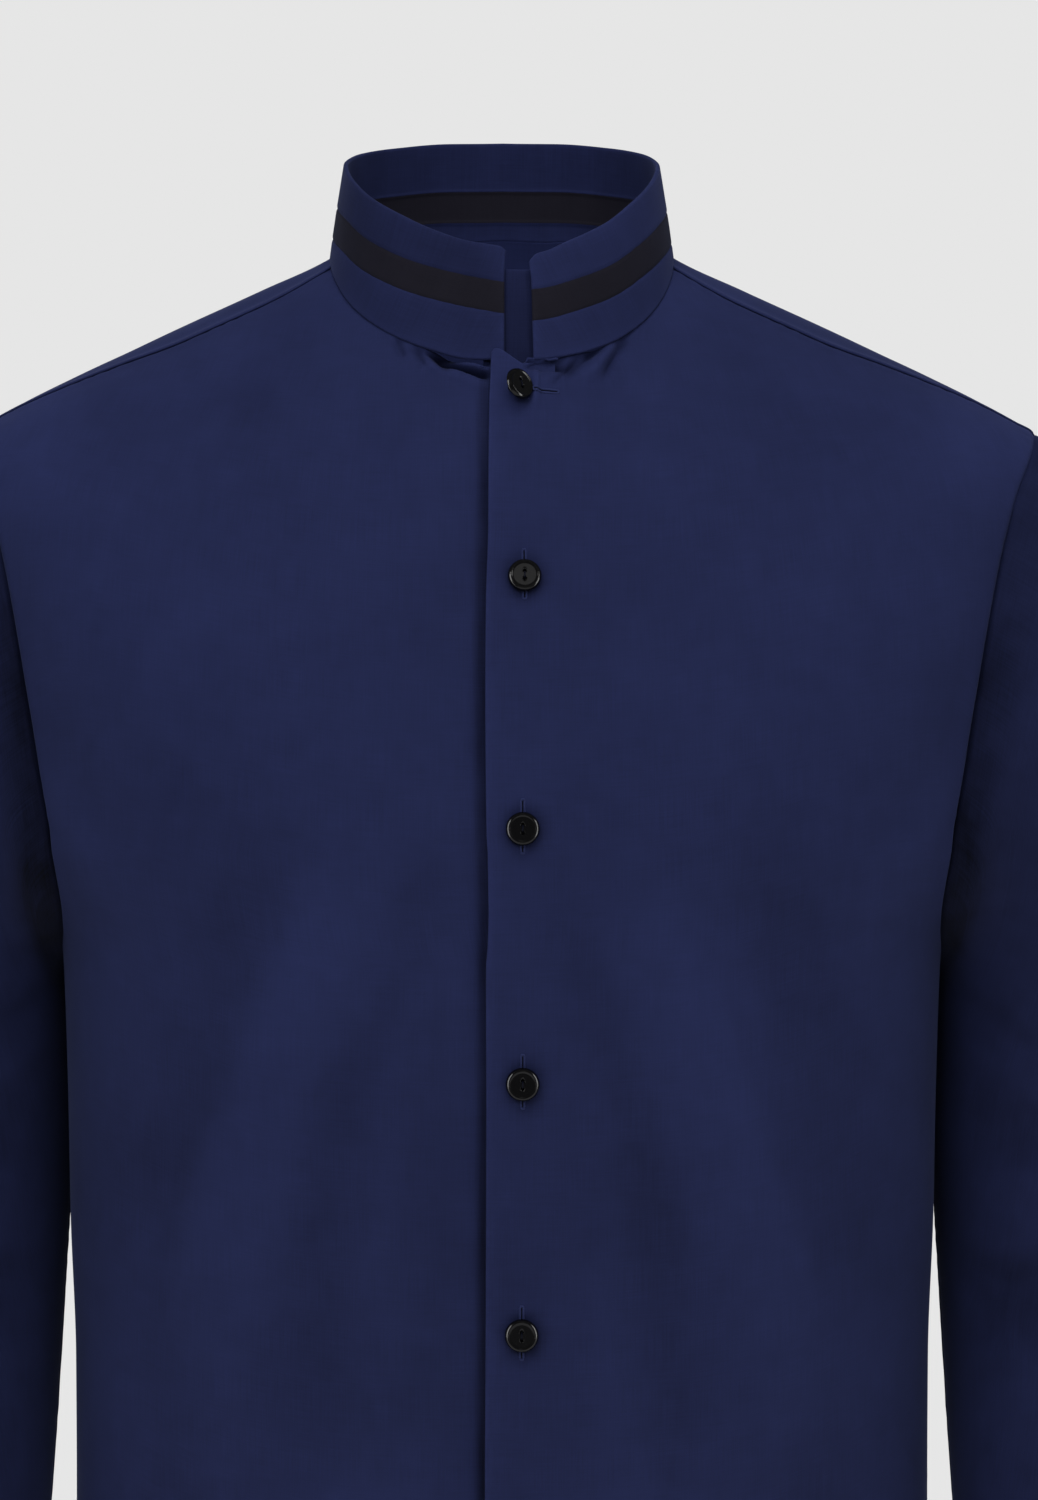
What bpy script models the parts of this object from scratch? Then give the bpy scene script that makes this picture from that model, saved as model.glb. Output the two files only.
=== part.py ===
"""Mandarin collar shirt, buttoned and filled out as it is when worn, with nobody in it.

Run it with: blender --background --python part.py

Units are metres and +Z is up. The front faces -Y and +X is the wearer's left. The origin is the
middle of the neck opening, level with the two points where the collar meets the shoulder line.

The body is one smooth form. Below the fullest chest it is a stack of level rings, each a
superellipse. Above it the form is made of slices, one for each share u of the way from the middle
of the body (u = 0) to the armhole (u = 1 or -1). A slice is an arch over the shoulder, with the
angle a running from -90 degrees at the front of the chest, over the top at 0, to 90 at the back.
Each panel is a stretch of that form between its seams, thickened to a wall of cloth.
"""

import math
from collections import namedtuple

import bpy
import numpy as np
from mathutils import Matrix, Vector

# ---------------------------------------------------------------- driving dimensions

CLOTH = 0.0012  # thickness of the body and sleeve cloth
COLLAR_CLOTH = 0.0020  # the band is doubled and interlined
CUFF_CLOTH = 0.0016
SEAM_GAP = 0.0006  # at the middle of the cloth; its faces come a little closer on curves

CHEST_Z = -0.240  # level of the fullest chest
ARMPIT_Z = -0.290
YOKE_Z = -0.098  # level of the yoke seam across the back
FRONT_HEM_Z = -0.745
BACK_HEM_Z = -0.757
SIDE_HEM_Z = -0.693  # the hem curves up to the side seams
RING_POWER = 2.6  # squareness of a level ring through the body
FRONT_POWER = 1.65  # roundness of the front half of a shoulder slice, in the middle
BACK_POWER = 2.0

NECK_HALF_WIDTH = 0.0715  # the collar seam, seen from above
NECK_FRONT = 0.0690
NECK_FRONT_Z = -0.0454
NECK_SWELL_LEFT = 0.035  # how much wider the seam swings, between the front and the side
NECK_SWELL_RIGHT = 0.010
NECK_BACK = 0.0660
NECK_POINT_ANGLE = math.radians(85)  # where the shoulder seam meets the collar seam, from the front
NECK_POINT_SHARE = 0.42  # where the column of facets from there meets the chest and the yoke seam
COLLAR_TOP_HALF_WIDTH = 0.0654
COLLAR_TOP_FRONT = 0.0620
COLLAR_TOP_BACK = 0.0620
COLLAR_LEFT_END_X = 0.0127  # the wearer's left and right ends of the band, with a gap between
COLLAR_RIGHT_END_X = 0.0012
STRIPE_WIDTH = 0.0132

UNDERLAP_EDGE_X = 0.0220  # hidden edge of the button side
LAP_LIFT = 0.0010  # each side of the closure moves this far apart
LAPEL_RISE = 0.0045  # the buttonhole side's top corner stands over the end of the band

TAB_RIGHT_X = -0.0075
TAB_LEFT_X = 0.0205
TAB_TOP_Z = -0.0078
TAB_CLEARANCE = 0.0009
TAB_BOTTOM_Z = -0.0520

BUTTON_RADIUS = 0.0074
BUTTON_BACK_RADIUS = 0.0058
BUTTON_HEIGHT = 0.0030
BUTTON_RIM = 0.0013  # the rim's width and how far the dish lies below it
BUTTON_DISH = 0.0008
BUTTON_CLEARANCE = 0.0003
BUTTON_HOLE_RADIUS = 0.0009
BUTTON_HOLE_SPACING = 0.0034
CUFF_OVERLAP = 0.024
CUFF_OVERLAP_TURN = math.radians(250)  # where the overlap lies: 90 is the front, 270 the back
CUFF_EASE = 0.0004  # more room between the two ends than a seam has

# ---------------------------------------------------------------- tables

Ring = namedtuple("Ring", "z half_width front_depth back_depth")
BODY_RINGS = (
    Ring(-0.760, 0.1850, 0.1130, 0.1120),
    Ring(-0.680, 0.1815, 0.1110, 0.1095),
    Ring(-0.600, 0.1780, 0.1075, 0.1030),
    Ring(-0.520, 0.1774, 0.1060, 0.0965),
    Ring(-0.457, 0.1777, 0.1085, 0.0950),
    Ring(-0.400, 0.1799, 0.1125, 0.0980),
    Ring(-0.352, 0.1808, 0.1165, 0.1035),
    Ring(-0.300, 0.1824, 0.1198, 0.1110),
    Ring(-0.285, 0.1834, 0.1204, 0.1124),
    Ring(-0.240, 0.1975, 0.1212, 0.1160),
    Ring(-0.200, 0.1975, 0.1212, 0.1160),
)

Armhole = namedtuple("Armhole", "z x")
ARMHOLE_EDGE = (
    Armhole(-0.260, 0.1830),
    Armhole(-0.240, 0.1850),
    Armhole(-0.209, 0.1905),
    Armhole(-0.184, 0.1948),
    Armhole(-0.164, 0.1982),
    Armhole(-0.127, 0.2056),
    Armhole(-0.102, 0.2125),
    Armhole(-0.072, 0.2225),
    Armhole(0.060, 0.2225),
)

# The top of each shoulder slice, and how far below it the shoulder seam runs, in front.
Slice = namedtuple("Slice", "x top_y top_z seam_drop")
SHOULDER_SLICES = (
    Slice(-0.0240, 0.0213, 0.0403, 0.0056),
    Slice(0.0000, 0.0220, 0.0470, 0.0056),
    Slice(0.0240, 0.0213, 0.0403, 0.0056),
    Slice(0.0360, 0.0201, 0.0325, 0.0056),
    Slice(0.0510, 0.0185, 0.0202, 0.0056),
    Slice(0.0630, 0.0160, 0.0093, 0.0056),
    Slice(0.0720, 0.0125, 0.0020, 0.0057),
    Slice(0.1000, 0.0105, -0.0114, 0.0084),
    Slice(0.1300, 0.0090, -0.0252, 0.0084),
    Slice(0.1600, 0.0070, -0.0394, 0.0054),
    Slice(0.1800, 0.0050, -0.0491, 0.0034),
    Slice(0.2000, 0.0025, -0.0593, 0.0018),
    Slice(0.2225, 0.0000, -0.0725, 0.0004),
)

Edge = namedtuple("Edge", "z x")
CLOSURE_EDGE = (
    Edge(-0.760, -0.0055),
    Edge(-0.506, -0.0058),
    Edge(-0.426, -0.0062),
    Edge(-0.386, -0.0070),
    Edge(-0.337, -0.0073),
    Edge(-0.285, -0.0089),
    Edge(-0.245, -0.0093),
    Edge(-0.193, -0.0081),
    Edge(-0.145, -0.0062),
    Edge(-0.104, -0.0065),
    Edge(-0.080, -0.0055),
    Edge(-0.063, -0.0050),
    Edge(-0.0454, -0.0038),
)

# Soft folds of the fronts, each a ridge or trough between two points seen from the front.
Fold = namedtuple("Fold", "x0 z0 x1 z1 width depth")
FRONT_FOLDS = (
    Fold(-0.070, -0.260, -0.128, -0.430, 0.026, 0.0030),
    Fold(-0.100, -0.250, -0.158, -0.410, 0.022, -0.0030),
    Fold(0.070, -0.280, 0.118, -0.440, 0.026, 0.0030),
    Fold(0.104, -0.255, 0.156, -0.420, 0.022, -0.0030),
    Fold(-0.060, -0.460, -0.082, -0.700, 0.026, 0.0036),
    Fold(0.066, -0.480, 0.088, -0.700, 0.026, 0.0036),
    Fold(-0.122, -0.520, -0.132, -0.690, 0.022, -0.0034),
    Fold(0.126, -0.500, 0.134, -0.690, 0.022, -0.0034),
)
BACK_FOLDS = (
    Fold(-0.045, -0.180, -0.060, -0.690, 0.030, 0.0036),
    Fold(0.048, -0.200, 0.058, -0.680, 0.030, 0.0036),
    Fold(-0.105, -0.300, -0.092, -0.560, 0.024, -0.0036),
    Fold(0.108, -0.280, 0.094, -0.580, 0.024, -0.0036),
    Fold(0.000, -0.350, 0.004, -0.720, 0.026, -0.0030),
)

# Rings along the sleeve, each between a point at the underarm and one on the outside.
Station = namedtuple("Station", "inner_x inner_z outer_x outer_z centre_y half_depth")
SLEEVE_STATIONS = (
    Station(0.1835, -0.2896, 0.2225, -0.0720, 0.000, 0.0572),
    Station(0.1856, -0.2930, 0.2385, -0.0840, 0.001, 0.0592),
    Station(0.1858, -0.2968, 0.2540, -0.1040, 0.003, 0.0612),
    Station(0.1852, -0.3012, 0.2675, -0.1330, 0.005, 0.0626),
    Station(0.1845, -0.3075, 0.2780, -0.1700, 0.008, 0.0636),
    Station(0.1838, -0.3160, 0.2855, -0.2140, 0.011, 0.0640),
    Station(0.1831, -0.3280, 0.2900, -0.2620, 0.014, 0.0636),
    Station(0.1826, -0.3450, 0.2910, -0.3120, 0.016, 0.0625),
    Station(0.1820, -0.3680, 0.2895, -0.3560, 0.017, 0.0608),
    Station(0.1814, -0.3950, 0.2868, -0.3920, 0.016, 0.0590),
    Station(0.1823, -0.4250, 0.2840, -0.4260, 0.013, 0.0572),
    Station(0.1848, -0.4600, 0.2815, -0.4640, 0.006, 0.0545),
    Station(0.1871, -0.5050, 0.2790, -0.5110, -0.006, 0.0512),
    Station(0.1906, -0.5500, 0.2770, -0.5570, -0.020, 0.0480),
    Station(0.1942, -0.5880, 0.2752, -0.5950, -0.034, 0.0452),
    Station(0.1972, -0.6120, 0.2736, -0.6190, -0.0425, 0.0420),
    Station(0.1998, -0.6210, 0.2716, -0.6280, -0.0448, 0.0377),
    Station(0.2002, -0.6258, 0.2712, -0.6328, -0.0452, 0.0372),
)
# The cuff carries on in the same way from the sleeve's last ring.
CUFF_STATIONS = (
    Station(0.2002, -0.6266, 0.2712, -0.6336, -0.0453, 0.0372),
    Station(0.2040, -0.6866, 0.2700, -0.6926, -0.0610, 0.0350),
)

Button = namedtuple("Button", "x z turn")  # turn: degrees about its own upright line
BUTTONS = (
    Button(0.0062, -0.0588, 38),  # the top one stands askew in its level buttonhole
    Button(0.0093, -0.1354, 0),
    Button(0.0086, -0.2366, 0),
    Button(0.0086, -0.3388, 0),
    Button(0.0082, -0.4402, 0),
    Button(0.0082, -0.5420, 0),
    Button(0.0082, -0.6435, 0),
)

# Folds of a sleeve: turn is the angle round it (0 underarm, 90 front, 180 outside, 270 back).
SleeveFold = namedtuple("SleeveFold", "turn0 z0 turn1 z1 width depth")
SLEEVE_FOLDS = (
    SleeveFold(62, -0.330, 150, -0.300, 0.016, 0.0030),
    SleeveFold(40, -0.372, 135, -0.352, 0.015, -0.0030),
    SleeveFold(45, -0.405, 140, -0.398, 0.014, 0.0038),
    SleeveFold(50, -0.438, 150, -0.446, 0.014, -0.0036),
    SleeveFold(60, -0.470, 150, -0.490, 0.014, 0.0032),
    SleeveFold(230, -0.350, 310, -0.420, 0.018, -0.0030),
    SleeveFold(225, -0.440, 300, -0.500, 0.018, 0.0030),
    SleeveFold(120, -0.560, 215, -0.585, 0.014, 0.0028),
)

# The band's top edge and the navy strip between it and the stripe, by the angle round from the
# front, on the wearer's right and left. The left end sits lower.
Rim = namedtuple("Rim", "turn right_z left_z right_strip left_strip")
COLLAR_RIM = (
    Rim(0, 0.0016, -0.0030, 0.0150, 0.0146),
    Rim(13, 0.0042, -0.0011, 0.0147, 0.0152),
    Rim(25, 0.0088, 0.0045, 0.0157, 0.0170),
    Rim(40, 0.0161, 0.0120, 0.0172, 0.0180),
    Rim(55, 0.0236, 0.0218, 0.0174, 0.0183),
    Rim(70, 0.0320, 0.0304, 0.0172, 0.0182),
    Rim(82, 0.0380, 0.0368, 0.0184, 0.0194),
    Rim(90, 0.0413, 0.0403, 0.0193, 0.0204),
    Rim(100, 0.0440, 0.0434, 0.0200, 0.0205),
    Rim(115, 0.0480, 0.0478, 0.0205, 0.0207),
    Rim(135, 0.0519, 0.0519, 0.0208, 0.0208),
    Rim(160, 0.0552, 0.0552, 0.0207, 0.0207),
    Rim(180, 0.0558, 0.0558, 0.0207, 0.0207),
)

# ---------------------------------------------------------------- counts of facets

NECK_STEPS = 10
SHOULDER_STEPS = 5
HEM_STEPS = 11
UNDERARM_STEPS = 3
FRONT_STEPS = 8
YOKE_STEPS = 4
BACK_STEPS = 7
SLEEVE_STEPS = 21
SLEEVE_PART_STEP = 10  # the row above the elbow where the sleeve's upper solid ends
COLLAR_STEPS = 44
CUFF_STEPS = 34
TAB_STEPS = 4
BUTTON_SIDES = 18

FINISHES = {  # colour, roughness
    "navy_poplin": ((0.016, 0.021, 0.068, 1.0), 0.82),
    "black_tape": ((0.010, 0.010, 0.012, 1.0), 0.88),
    "black_button": ((0.006, 0.006, 0.007, 1.0), 0.22),
}


# ---------------------------------------------------------------- curves through the tables


def curve(rows, key, column):
    """A smooth function through one column of a table, level at its highs and lows."""
    rows = sorted(rows, key=lambda row: getattr(row, key))
    knots = np.array([getattr(row, key) for row in rows], float)
    values = np.array([getattr(row, column) for row in rows], float)
    spans = np.diff(knots)
    slopes = np.diff(values) / spans
    tangents = np.empty(len(knots))
    tangents[0], tangents[-1] = slopes[0], slopes[-1]
    before, after = slopes[:-1], slopes[1:]
    same_way = before * after > 0
    total = np.where(same_way, before + after, 1.0)
    tangents[1:-1] = np.where(same_way, 2 * before * after / total, 0.0)

    def at(where):
        where = np.clip(where, knots[0], knots[-1])
        i = np.clip(np.searchsorted(knots, where) - 1, 0, len(spans) - 1)
        t = (where - knots[i]) / spans[i]
        return (
            values[i] * (1 + 2 * t) * (1 - t) ** 2
            + values[i + 1] * t**2 * (3 - 2 * t)
            + tangents[i] * spans[i] * t * (1 - t) ** 2
            - tangents[i + 1] * spans[i] * t**2 * (1 - t)
        )

    return at


half_width = curve(BODY_RINGS, "z", "half_width")
front_depth = curve(BODY_RINGS, "z", "front_depth")
back_depth = curve(BODY_RINGS, "z", "back_depth")
armhole_x = curve(ARMHOLE_EDGE, "z", "x")
closure_edge_x = curve(CLOSURE_EDGE, "z", "x")
slice_top_y = curve(SHOULDER_SLICES, "x", "top_y")
slice_top_z = curve(SHOULDER_SLICES, "x", "top_z")
slice_seam_drop = curve(SHOULDER_SLICES, "x", "seam_drop")
rim_curves = {column: curve(COLLAR_RIM, "turn", column) for column in Rim._fields[1:]}

SHOULDER_X = SHOULDER_SLICES[-1].x
CHEST_EDGE_X = float(armhole_x(CHEST_Z))
CHEST_EDGE_SHARE = CHEST_EDGE_X / float(half_width(CHEST_Z))
CHEST_EDGE_ANGLE = math.asin(CHEST_EDGE_SHARE ** (RING_POWER / 2))


def smoothstep(value, low, high):
    """Rises smoothly from 0 at low to 1 at high."""
    t = np.clip((value - low) / (high - low), 0, 1)
    return t * t * (3 - 2 * t)


# ---------------------------------------------------------------- the form of the body


def ring_depth(z, face):
    """How far a level ring reaches from its middle: face is -1 at the front and 1 at the back."""
    return np.where(face < 0, front_depth(z), back_depth(z))


def edge_angle(z, face):
    """The angle round a level ring where a panel ends: the side seam, or the armhole above it."""
    share = np.clip((CHEST_Z - z) / (CHEST_Z - ARMPIT_Z), 0, 1)
    at_chest = ring_depth(CHEST_Z, face) * math.cos(CHEST_EDGE_ANGLE) ** (2 / RING_POWER)
    opening = at_chest * np.sqrt(1 - share**2) / ring_depth(z, face)
    return np.arccos(np.clip(opening, 0, 1) ** (RING_POWER / 2))


def lower_point(u, z, face):
    """A point of the body below the chest, at share u of the way round to the panel's edge."""
    column = np.arcsin(np.clip(np.abs(u) * CHEST_EDGE_SHARE, 0, 1) ** (RING_POWER / 2))
    angle = column / CHEST_EDGE_ANGLE * edge_angle(z, face)
    x = np.sign(u) * half_width(z) * np.sin(angle) ** (2 / RING_POWER)
    y = face * ring_depth(z, face) * np.cos(np.clip(angle, 0, math.pi / 2)) ** (2 / RING_POWER)
    return np.stack([x, y, z + 0 * x], axis=-1)


def slice_shape(u, back):
    """(top y, rise above the chest, reach forwards or back, power) of a shoulder slice."""
    x = np.abs(u) * SHOULDER_X
    top_y = slice_top_y(x)
    rise = slice_top_z(x) - CHEST_Z
    chest_share = np.clip(np.abs(u) * CHEST_EDGE_SHARE, 0, 1)
    wide = (1 - chest_share**RING_POWER) ** (1 / RING_POWER)
    reach = np.where(
        back, back_depth(CHEST_Z) * wide - top_y, front_depth(CHEST_Z) * wide + top_y
    )
    power = np.where(back, BACK_POWER, FRONT_POWER + 0.45 * np.abs(u) ** 3)
    return top_y, rise, reach, power


def upper_point(u, a):
    """A point of the body above the chest, at angle a over the shoulder slice u."""
    back = a > 0
    top_y, rise, reach, power = slice_shape(u, back)
    z = CHEST_Z + rise * np.clip(np.cos(a), 0, 1) ** (2 / power)
    y = top_y + np.where(back, 1, -1) * reach * np.abs(np.sin(a)) ** (2 / power)
    return np.stack([u * armhole_x(z), y, z], axis=-1)


def shoulder_place(x, y):
    """(u, a) of the point of the upper body that lies over the plan position x, y."""
    z = np.zeros_like(x)
    for _ in range(30):
        u = x / armhole_x(z)
        top_y = slice_top_y(np.abs(u) * SHOULDER_X)
        back = y > top_y
        top_y, _, reach, power = slice_shape(u, back)
        share = np.clip(np.abs(y - top_y) / reach, 0, 1)
        a = np.where(back, 1, -1) * np.arcsin(share ** (power / 2))
        z = 0.5 * z + 0.5 * upper_point(u, a)[..., 2]
    return u, a


def level_angle(u, z, back):
    """The angle a at which the slice u passes the level z."""
    _, rise, _, power = slice_shape(u, np.full_like(u, back, bool))
    return (1 if back else -1) * np.arccos(np.clip((z - CHEST_Z) / rise, 0, 1) ** (power / 2))


def surface_normal(u, a):
    """Unit normals of the upper body, pointing out of it."""
    step = 1e-4
    across = upper_point(u + step, a) - upper_point(u - step, a)
    along = upper_point(u, a + step) - upper_point(u, a - step)
    found = np.cross(across, along)
    return found / np.linalg.norm(found, axis=-1, keepdims=True)


def neck_plan(turn, half_wide, front, back):
    """Plan position on the neck's oval, at an angle round from the front."""
    deep = np.where(np.cos(turn) > 0, front, back)
    return half_wide * np.sin(turn), -deep * np.cos(turn)


def neck_seam(turn):
    """(u, a) of the collar seam at an angle round from the front."""
    x, y = neck_plan(turn, NECK_HALF_WIDTH, NECK_FRONT, NECK_BACK)
    round_from_front = np.abs((turn + math.pi) % (2 * math.pi) - math.pi)
    most = np.where(np.sin(turn) > 0, NECK_SWELL_LEFT, NECK_SWELL_RIGHT)
    swell = 1 + most * np.sin(math.pi * np.clip(round_from_front / NECK_POINT_ANGLE, 0, 1))
    return shoulder_place(x * swell, y * swell)


def shoulder_seam(u):
    """(u, a) of the seam along the shoulder, in front of its ridge."""
    _, rise, _, power = slice_shape(u, np.zeros_like(u, bool))
    share = 1 - slice_seam_drop(np.abs(u) * SHOULDER_X) / rise
    return u, -np.arccos(np.clip(share, 0, 1) ** (power / 2))


# ---------------------------------------------------------------- grids


def patch(bottom, top, left, right):
    """A Coons patch between four edges, each a row of (u, a) pairs. Rows run from bottom to top."""
    s = np.linspace(0, 1, len(bottom))[None, :, None]
    t = np.linspace(0, 1, len(left))[:, None, None]
    across = (1 - s) * left[:, None] + s * right[:, None]
    along = (1 - t) * bottom[None] + t * top[None]
    corners = (1 - t) * ((1 - s) * bottom[0] + s * bottom[-1])
    corners = corners + t * ((1 - s) * top[0] + s * top[-1])
    return across + along - corners


def normals(points, outward):
    """Unit normals of a grid of points. outward is 1 or -1, to make them point out of the shirt."""
    across = np.gradient(points, axis=1)
    along = np.gradient(points, axis=0)
    found = outward * np.cross(across, along)
    return found / np.maximum(np.linalg.norm(found, axis=-1, keepdims=True), 1e-12)


def fold_height(x, z, folds):
    """How far out the cloth stands where soft folds cross it, seen from the front."""
    total = np.zeros_like(x)
    for fold in folds:
        run = np.array([fold.x1 - fold.x0, fold.z1 - fold.z0])
        length = np.hypot(*run)
        along = ((x - fold.x0) * run[0] + (z - fold.z0) * run[1]) / length**2
        aside = ((x - fold.x0) * run[1] - (z - fold.z0) * run[0]) / length
        ends = smoothstep(along, -0.25, 0.25) * smoothstep(-along, -1.25, -0.75)
        total += fold.depth * ends * np.exp(-((aside / fold.width) ** 2))
    return total


def pull_back(points, rows=(0, 0), columns=(0, 0)):
    """Moves a grid's edges in by half a seam gap, on the sides asked for."""
    points = points.copy()
    for axis, (first, last) in ((0, rows), (1, columns)):
        view = points if axis == 0 else points.transpose(1, 0, 2)
        for wanted, edge, inner in ((first, 0, 1), (last, -1, -2)):
            if wanted:
                step = view[inner] - view[edge]
                length = np.linalg.norm(step, axis=-1, keepdims=True)
                view[edge] += step / np.maximum(length, 1e-9) * SEAM_GAP / 2
    return points


# ---------------------------------------------------------------- the panels


def lower_levels(u, hem_z):
    """Heights of the rows from the hem up to the chest, for each column."""
    hem = hem_z + (SIDE_HEM_Z - hem_z) * np.abs(u) ** 2.5
    share = np.linspace(1, 0, HEM_STEPS + 1)[:, None]
    below = ARMPIT_Z + (hem[None] - ARMPIT_Z) * share
    sweep = np.linspace(math.pi / 2, 0, UNDERARM_STEPS + 1)[1:, None]
    beside = CHEST_Z - (CHEST_Z - ARMPIT_Z) * np.sin(sweep) + 0 * u[None]
    return np.vstack([below, beside])


def lap_lift(x, side):
    """How far the cloth stands out or in beside the closure, where the two fronts pass."""
    over = 1 - smoothstep(x, 0.016, 0.045)
    under = smoothstep(x, -0.036, -0.012)
    return LAP_LIFT * np.where(side > 0, over, -under)


def front_edge(z, side):
    """x of a front's own edge at the closure."""
    return closure_edge_x(z) if side > 0 else UNDERLAP_EDGE_X + 0 * z


def front_neck_turns(side):
    """Angles along a front's neck edge, from the closure to the shoulder seam."""
    start = math.asin(float(front_edge(NECK_FRONT_Z, side)) / NECK_HALF_WIDTH) * side
    return side * np.linspace(start, NECK_POINT_ANGLE, NECK_STEPS + 1)


def front_grid(side):
    """Points of one front, rows from the hem up and columns from the closure to the side seam."""
    neck = np.stack(neck_seam(front_neck_turns(side)), axis=-1)
    outer = np.linspace(abs(neck[-1, 0]), 1, SHOULDER_STEPS + 1)[1:]
    seam_u, seam_a = shoulder_seam(side * outer)
    top = np.vstack([neck, np.stack([seam_u, seam_a], axis=-1)])

    chest_angle = -math.pi / 2
    edge_u = float(front_edge(CHEST_Z, side)) / CHEST_EDGE_X
    columns = side * np.concatenate(
        [
            np.linspace(side * edge_u, NECK_POINT_SHARE, NECK_STEPS + 1),
            np.linspace(NECK_POINT_SHARE, 1, SHOULDER_STEPS + 1)[1:],
        ]
    )
    bottom = np.stack([columns, np.full_like(columns, chest_angle)], axis=-1)
    left_a = np.linspace(chest_angle, top[0, 1], FRONT_STEPS + 1)
    left_u = np.full_like(left_a, edge_u)
    for _ in range(4):
        left_z = upper_point(left_u, left_a)[:, 2]
        left_u = front_edge(left_z, side) / armhole_x(left_z)
    left = np.stack([left_u, left_a], axis=-1)
    left[-1] = top[0]
    right_a = np.linspace(chest_angle, top[-1, 1], FRONT_STEPS + 1)
    right = np.stack([np.full_like(right_a, side), right_a], axis=-1)
    places = patch(bottom, top, left, right)
    upper = upper_point(places[..., 0], places[..., 1])

    levels = lower_levels(columns, FRONT_HEM_Z)
    share = (columns - edge_u) / (side - edge_u)
    edge_here = front_edge(levels, side) / half_width(levels)
    u = edge_here + share[None] * (side - edge_here)
    lower = lower_point(u, levels, -1)
    points = np.vstack([lower[:-1], upper])

    out = normals(points, side)
    x, z = points[..., 0], points[..., 2]
    lift = lap_lift(x, side) + fold_height(x, z, FRONT_FOLDS) * (1 - np.abs(share[None]) ** 6)
    points = points + out * lift[..., None]
    if side > 0:
        stand = LAPEL_RISE * (1 - smoothstep(points[-1, :, 0], -0.004, COLLAR_LEFT_END_X))
        points[-1, :, 2] += stand
    return points


def front_panel(name, side):
    """One front, its neck and armhole edges drawn back by half a seam gap."""
    points = pull_back(front_grid(side), rows=(0, 1), columns=(0, 1))
    return cloth_object(name, points, side, CLOTH, "navy_poplin")


def yoke_columns():
    """(front boundary, back boundary, columns) of the yoke, from the right armhole to the left."""
    neck_point = float(neck_seam(np.array([NECK_POINT_ANGLE]))[0][0])
    outer = np.linspace(neck_point, 1, SHOULDER_STEPS + 1)
    turns = np.linspace(NECK_POINT_ANGLE, math.pi, NECK_STEPS + 1)
    neck = np.stack(neck_seam(turns), axis=-1)
    seam = np.stack(shoulder_seam(outer), axis=-1)[::-1]
    left_half = np.vstack([seam[:-1], neck])
    right_half = (left_half * [-1, 1])[:-1]
    front = np.vstack([right_half, left_half[::-1]])
    half = np.concatenate(
        [
            np.linspace(1, NECK_POINT_SHARE, SHOULDER_STEPS + 1)[:-1],
            np.linspace(NECK_POINT_SHARE, 0, len(turns)),
        ]
    )
    columns = np.concatenate([-half[:-1], half[::-1]])
    back_a = level_angle(columns, YOKE_Z, True)
    return front, np.stack([columns, back_a], axis=-1), columns


def yoke_grid():
    front, back, _ = yoke_columns()
    edge_a = np.linspace(back[0, 1], front[0, 1], YOKE_STEPS + 1)
    left = np.stack([-np.ones_like(edge_a), edge_a], axis=-1)
    places = patch(back, front, left, left * [-1, 1])
    return upper_point(places[..., 0], places[..., 1])


def back_grid():
    """Points of the back panel, rows from the hem up to the yoke seam."""
    _, top, columns = yoke_columns()
    bottom = np.stack([columns, np.full_like(columns, math.pi / 2)], axis=-1)
    edge_a = np.linspace(math.pi / 2, top[0, 1], BACK_STEPS + 1)
    left = np.stack([-np.ones_like(edge_a), edge_a], axis=-1)
    places = patch(bottom, top, left, left * [-1, 1])
    upper = upper_point(places[..., 0], places[..., 1])
    levels = lower_levels(columns, BACK_HEM_Z)
    lower = lower_point(columns[None] + 0 * levels, levels, 1)
    points = np.vstack([lower[:-1], upper])
    out = normals(points, -1)
    x, z = points[..., 0], points[..., 2]
    calm = (1 - np.abs(columns[None]) ** 6) * (1 - smoothstep(z, -0.20, -0.11))
    return points + out * (fold_height(x, z, BACK_FOLDS) * calm)[..., None]


def armhole_edge(side):
    """Points round an armhole, from the armpit up the front, over the shoulder and down the back."""
    front = front_grid(side)[HEM_STEPS:, -1]
    yoke = yoke_grid()[::-1, -1 if side > 0 else 0]
    back = back_grid()[HEM_STEPS:, -1 if side > 0 else 0][::-1]
    return np.vstack([front, yoke[1:], back[1:-1]])


# ---------------------------------------------------------------- sleeves and cuffs


Numbered = namedtuple("Numbered", ("index",) + Station._fields)


def station_curves(stations):
    """Smooth functions through each column of the stations, by their number along the sleeve."""
    numbered = [Numbered(i, *row) for i, row in enumerate(stations)]
    return {column: curve(numbered, "index", column) for column in Station._fields}


def sleeve_turns(side):
    """(angle, local place across, local depth) of each column, read from the armhole."""
    first = SLEEVE_STATIONS[0]
    inner = np.array([first.inner_x, first.inner_z])
    across = np.array([first.outer_x, first.outer_z]) - inner
    edge = armhole_edge(side) * [side, 1, 1]
    place = ((edge[:, [0, 2]] - inner) @ across) / (across @ across)
    depth = edge[:, 1] / first.half_depth
    turn = np.arctan2(-depth, 1 - 2 * place)
    turn[0] = 0
    return np.where(turn < -1e-6, turn + 2 * math.pi, turn), place, depth


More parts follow.
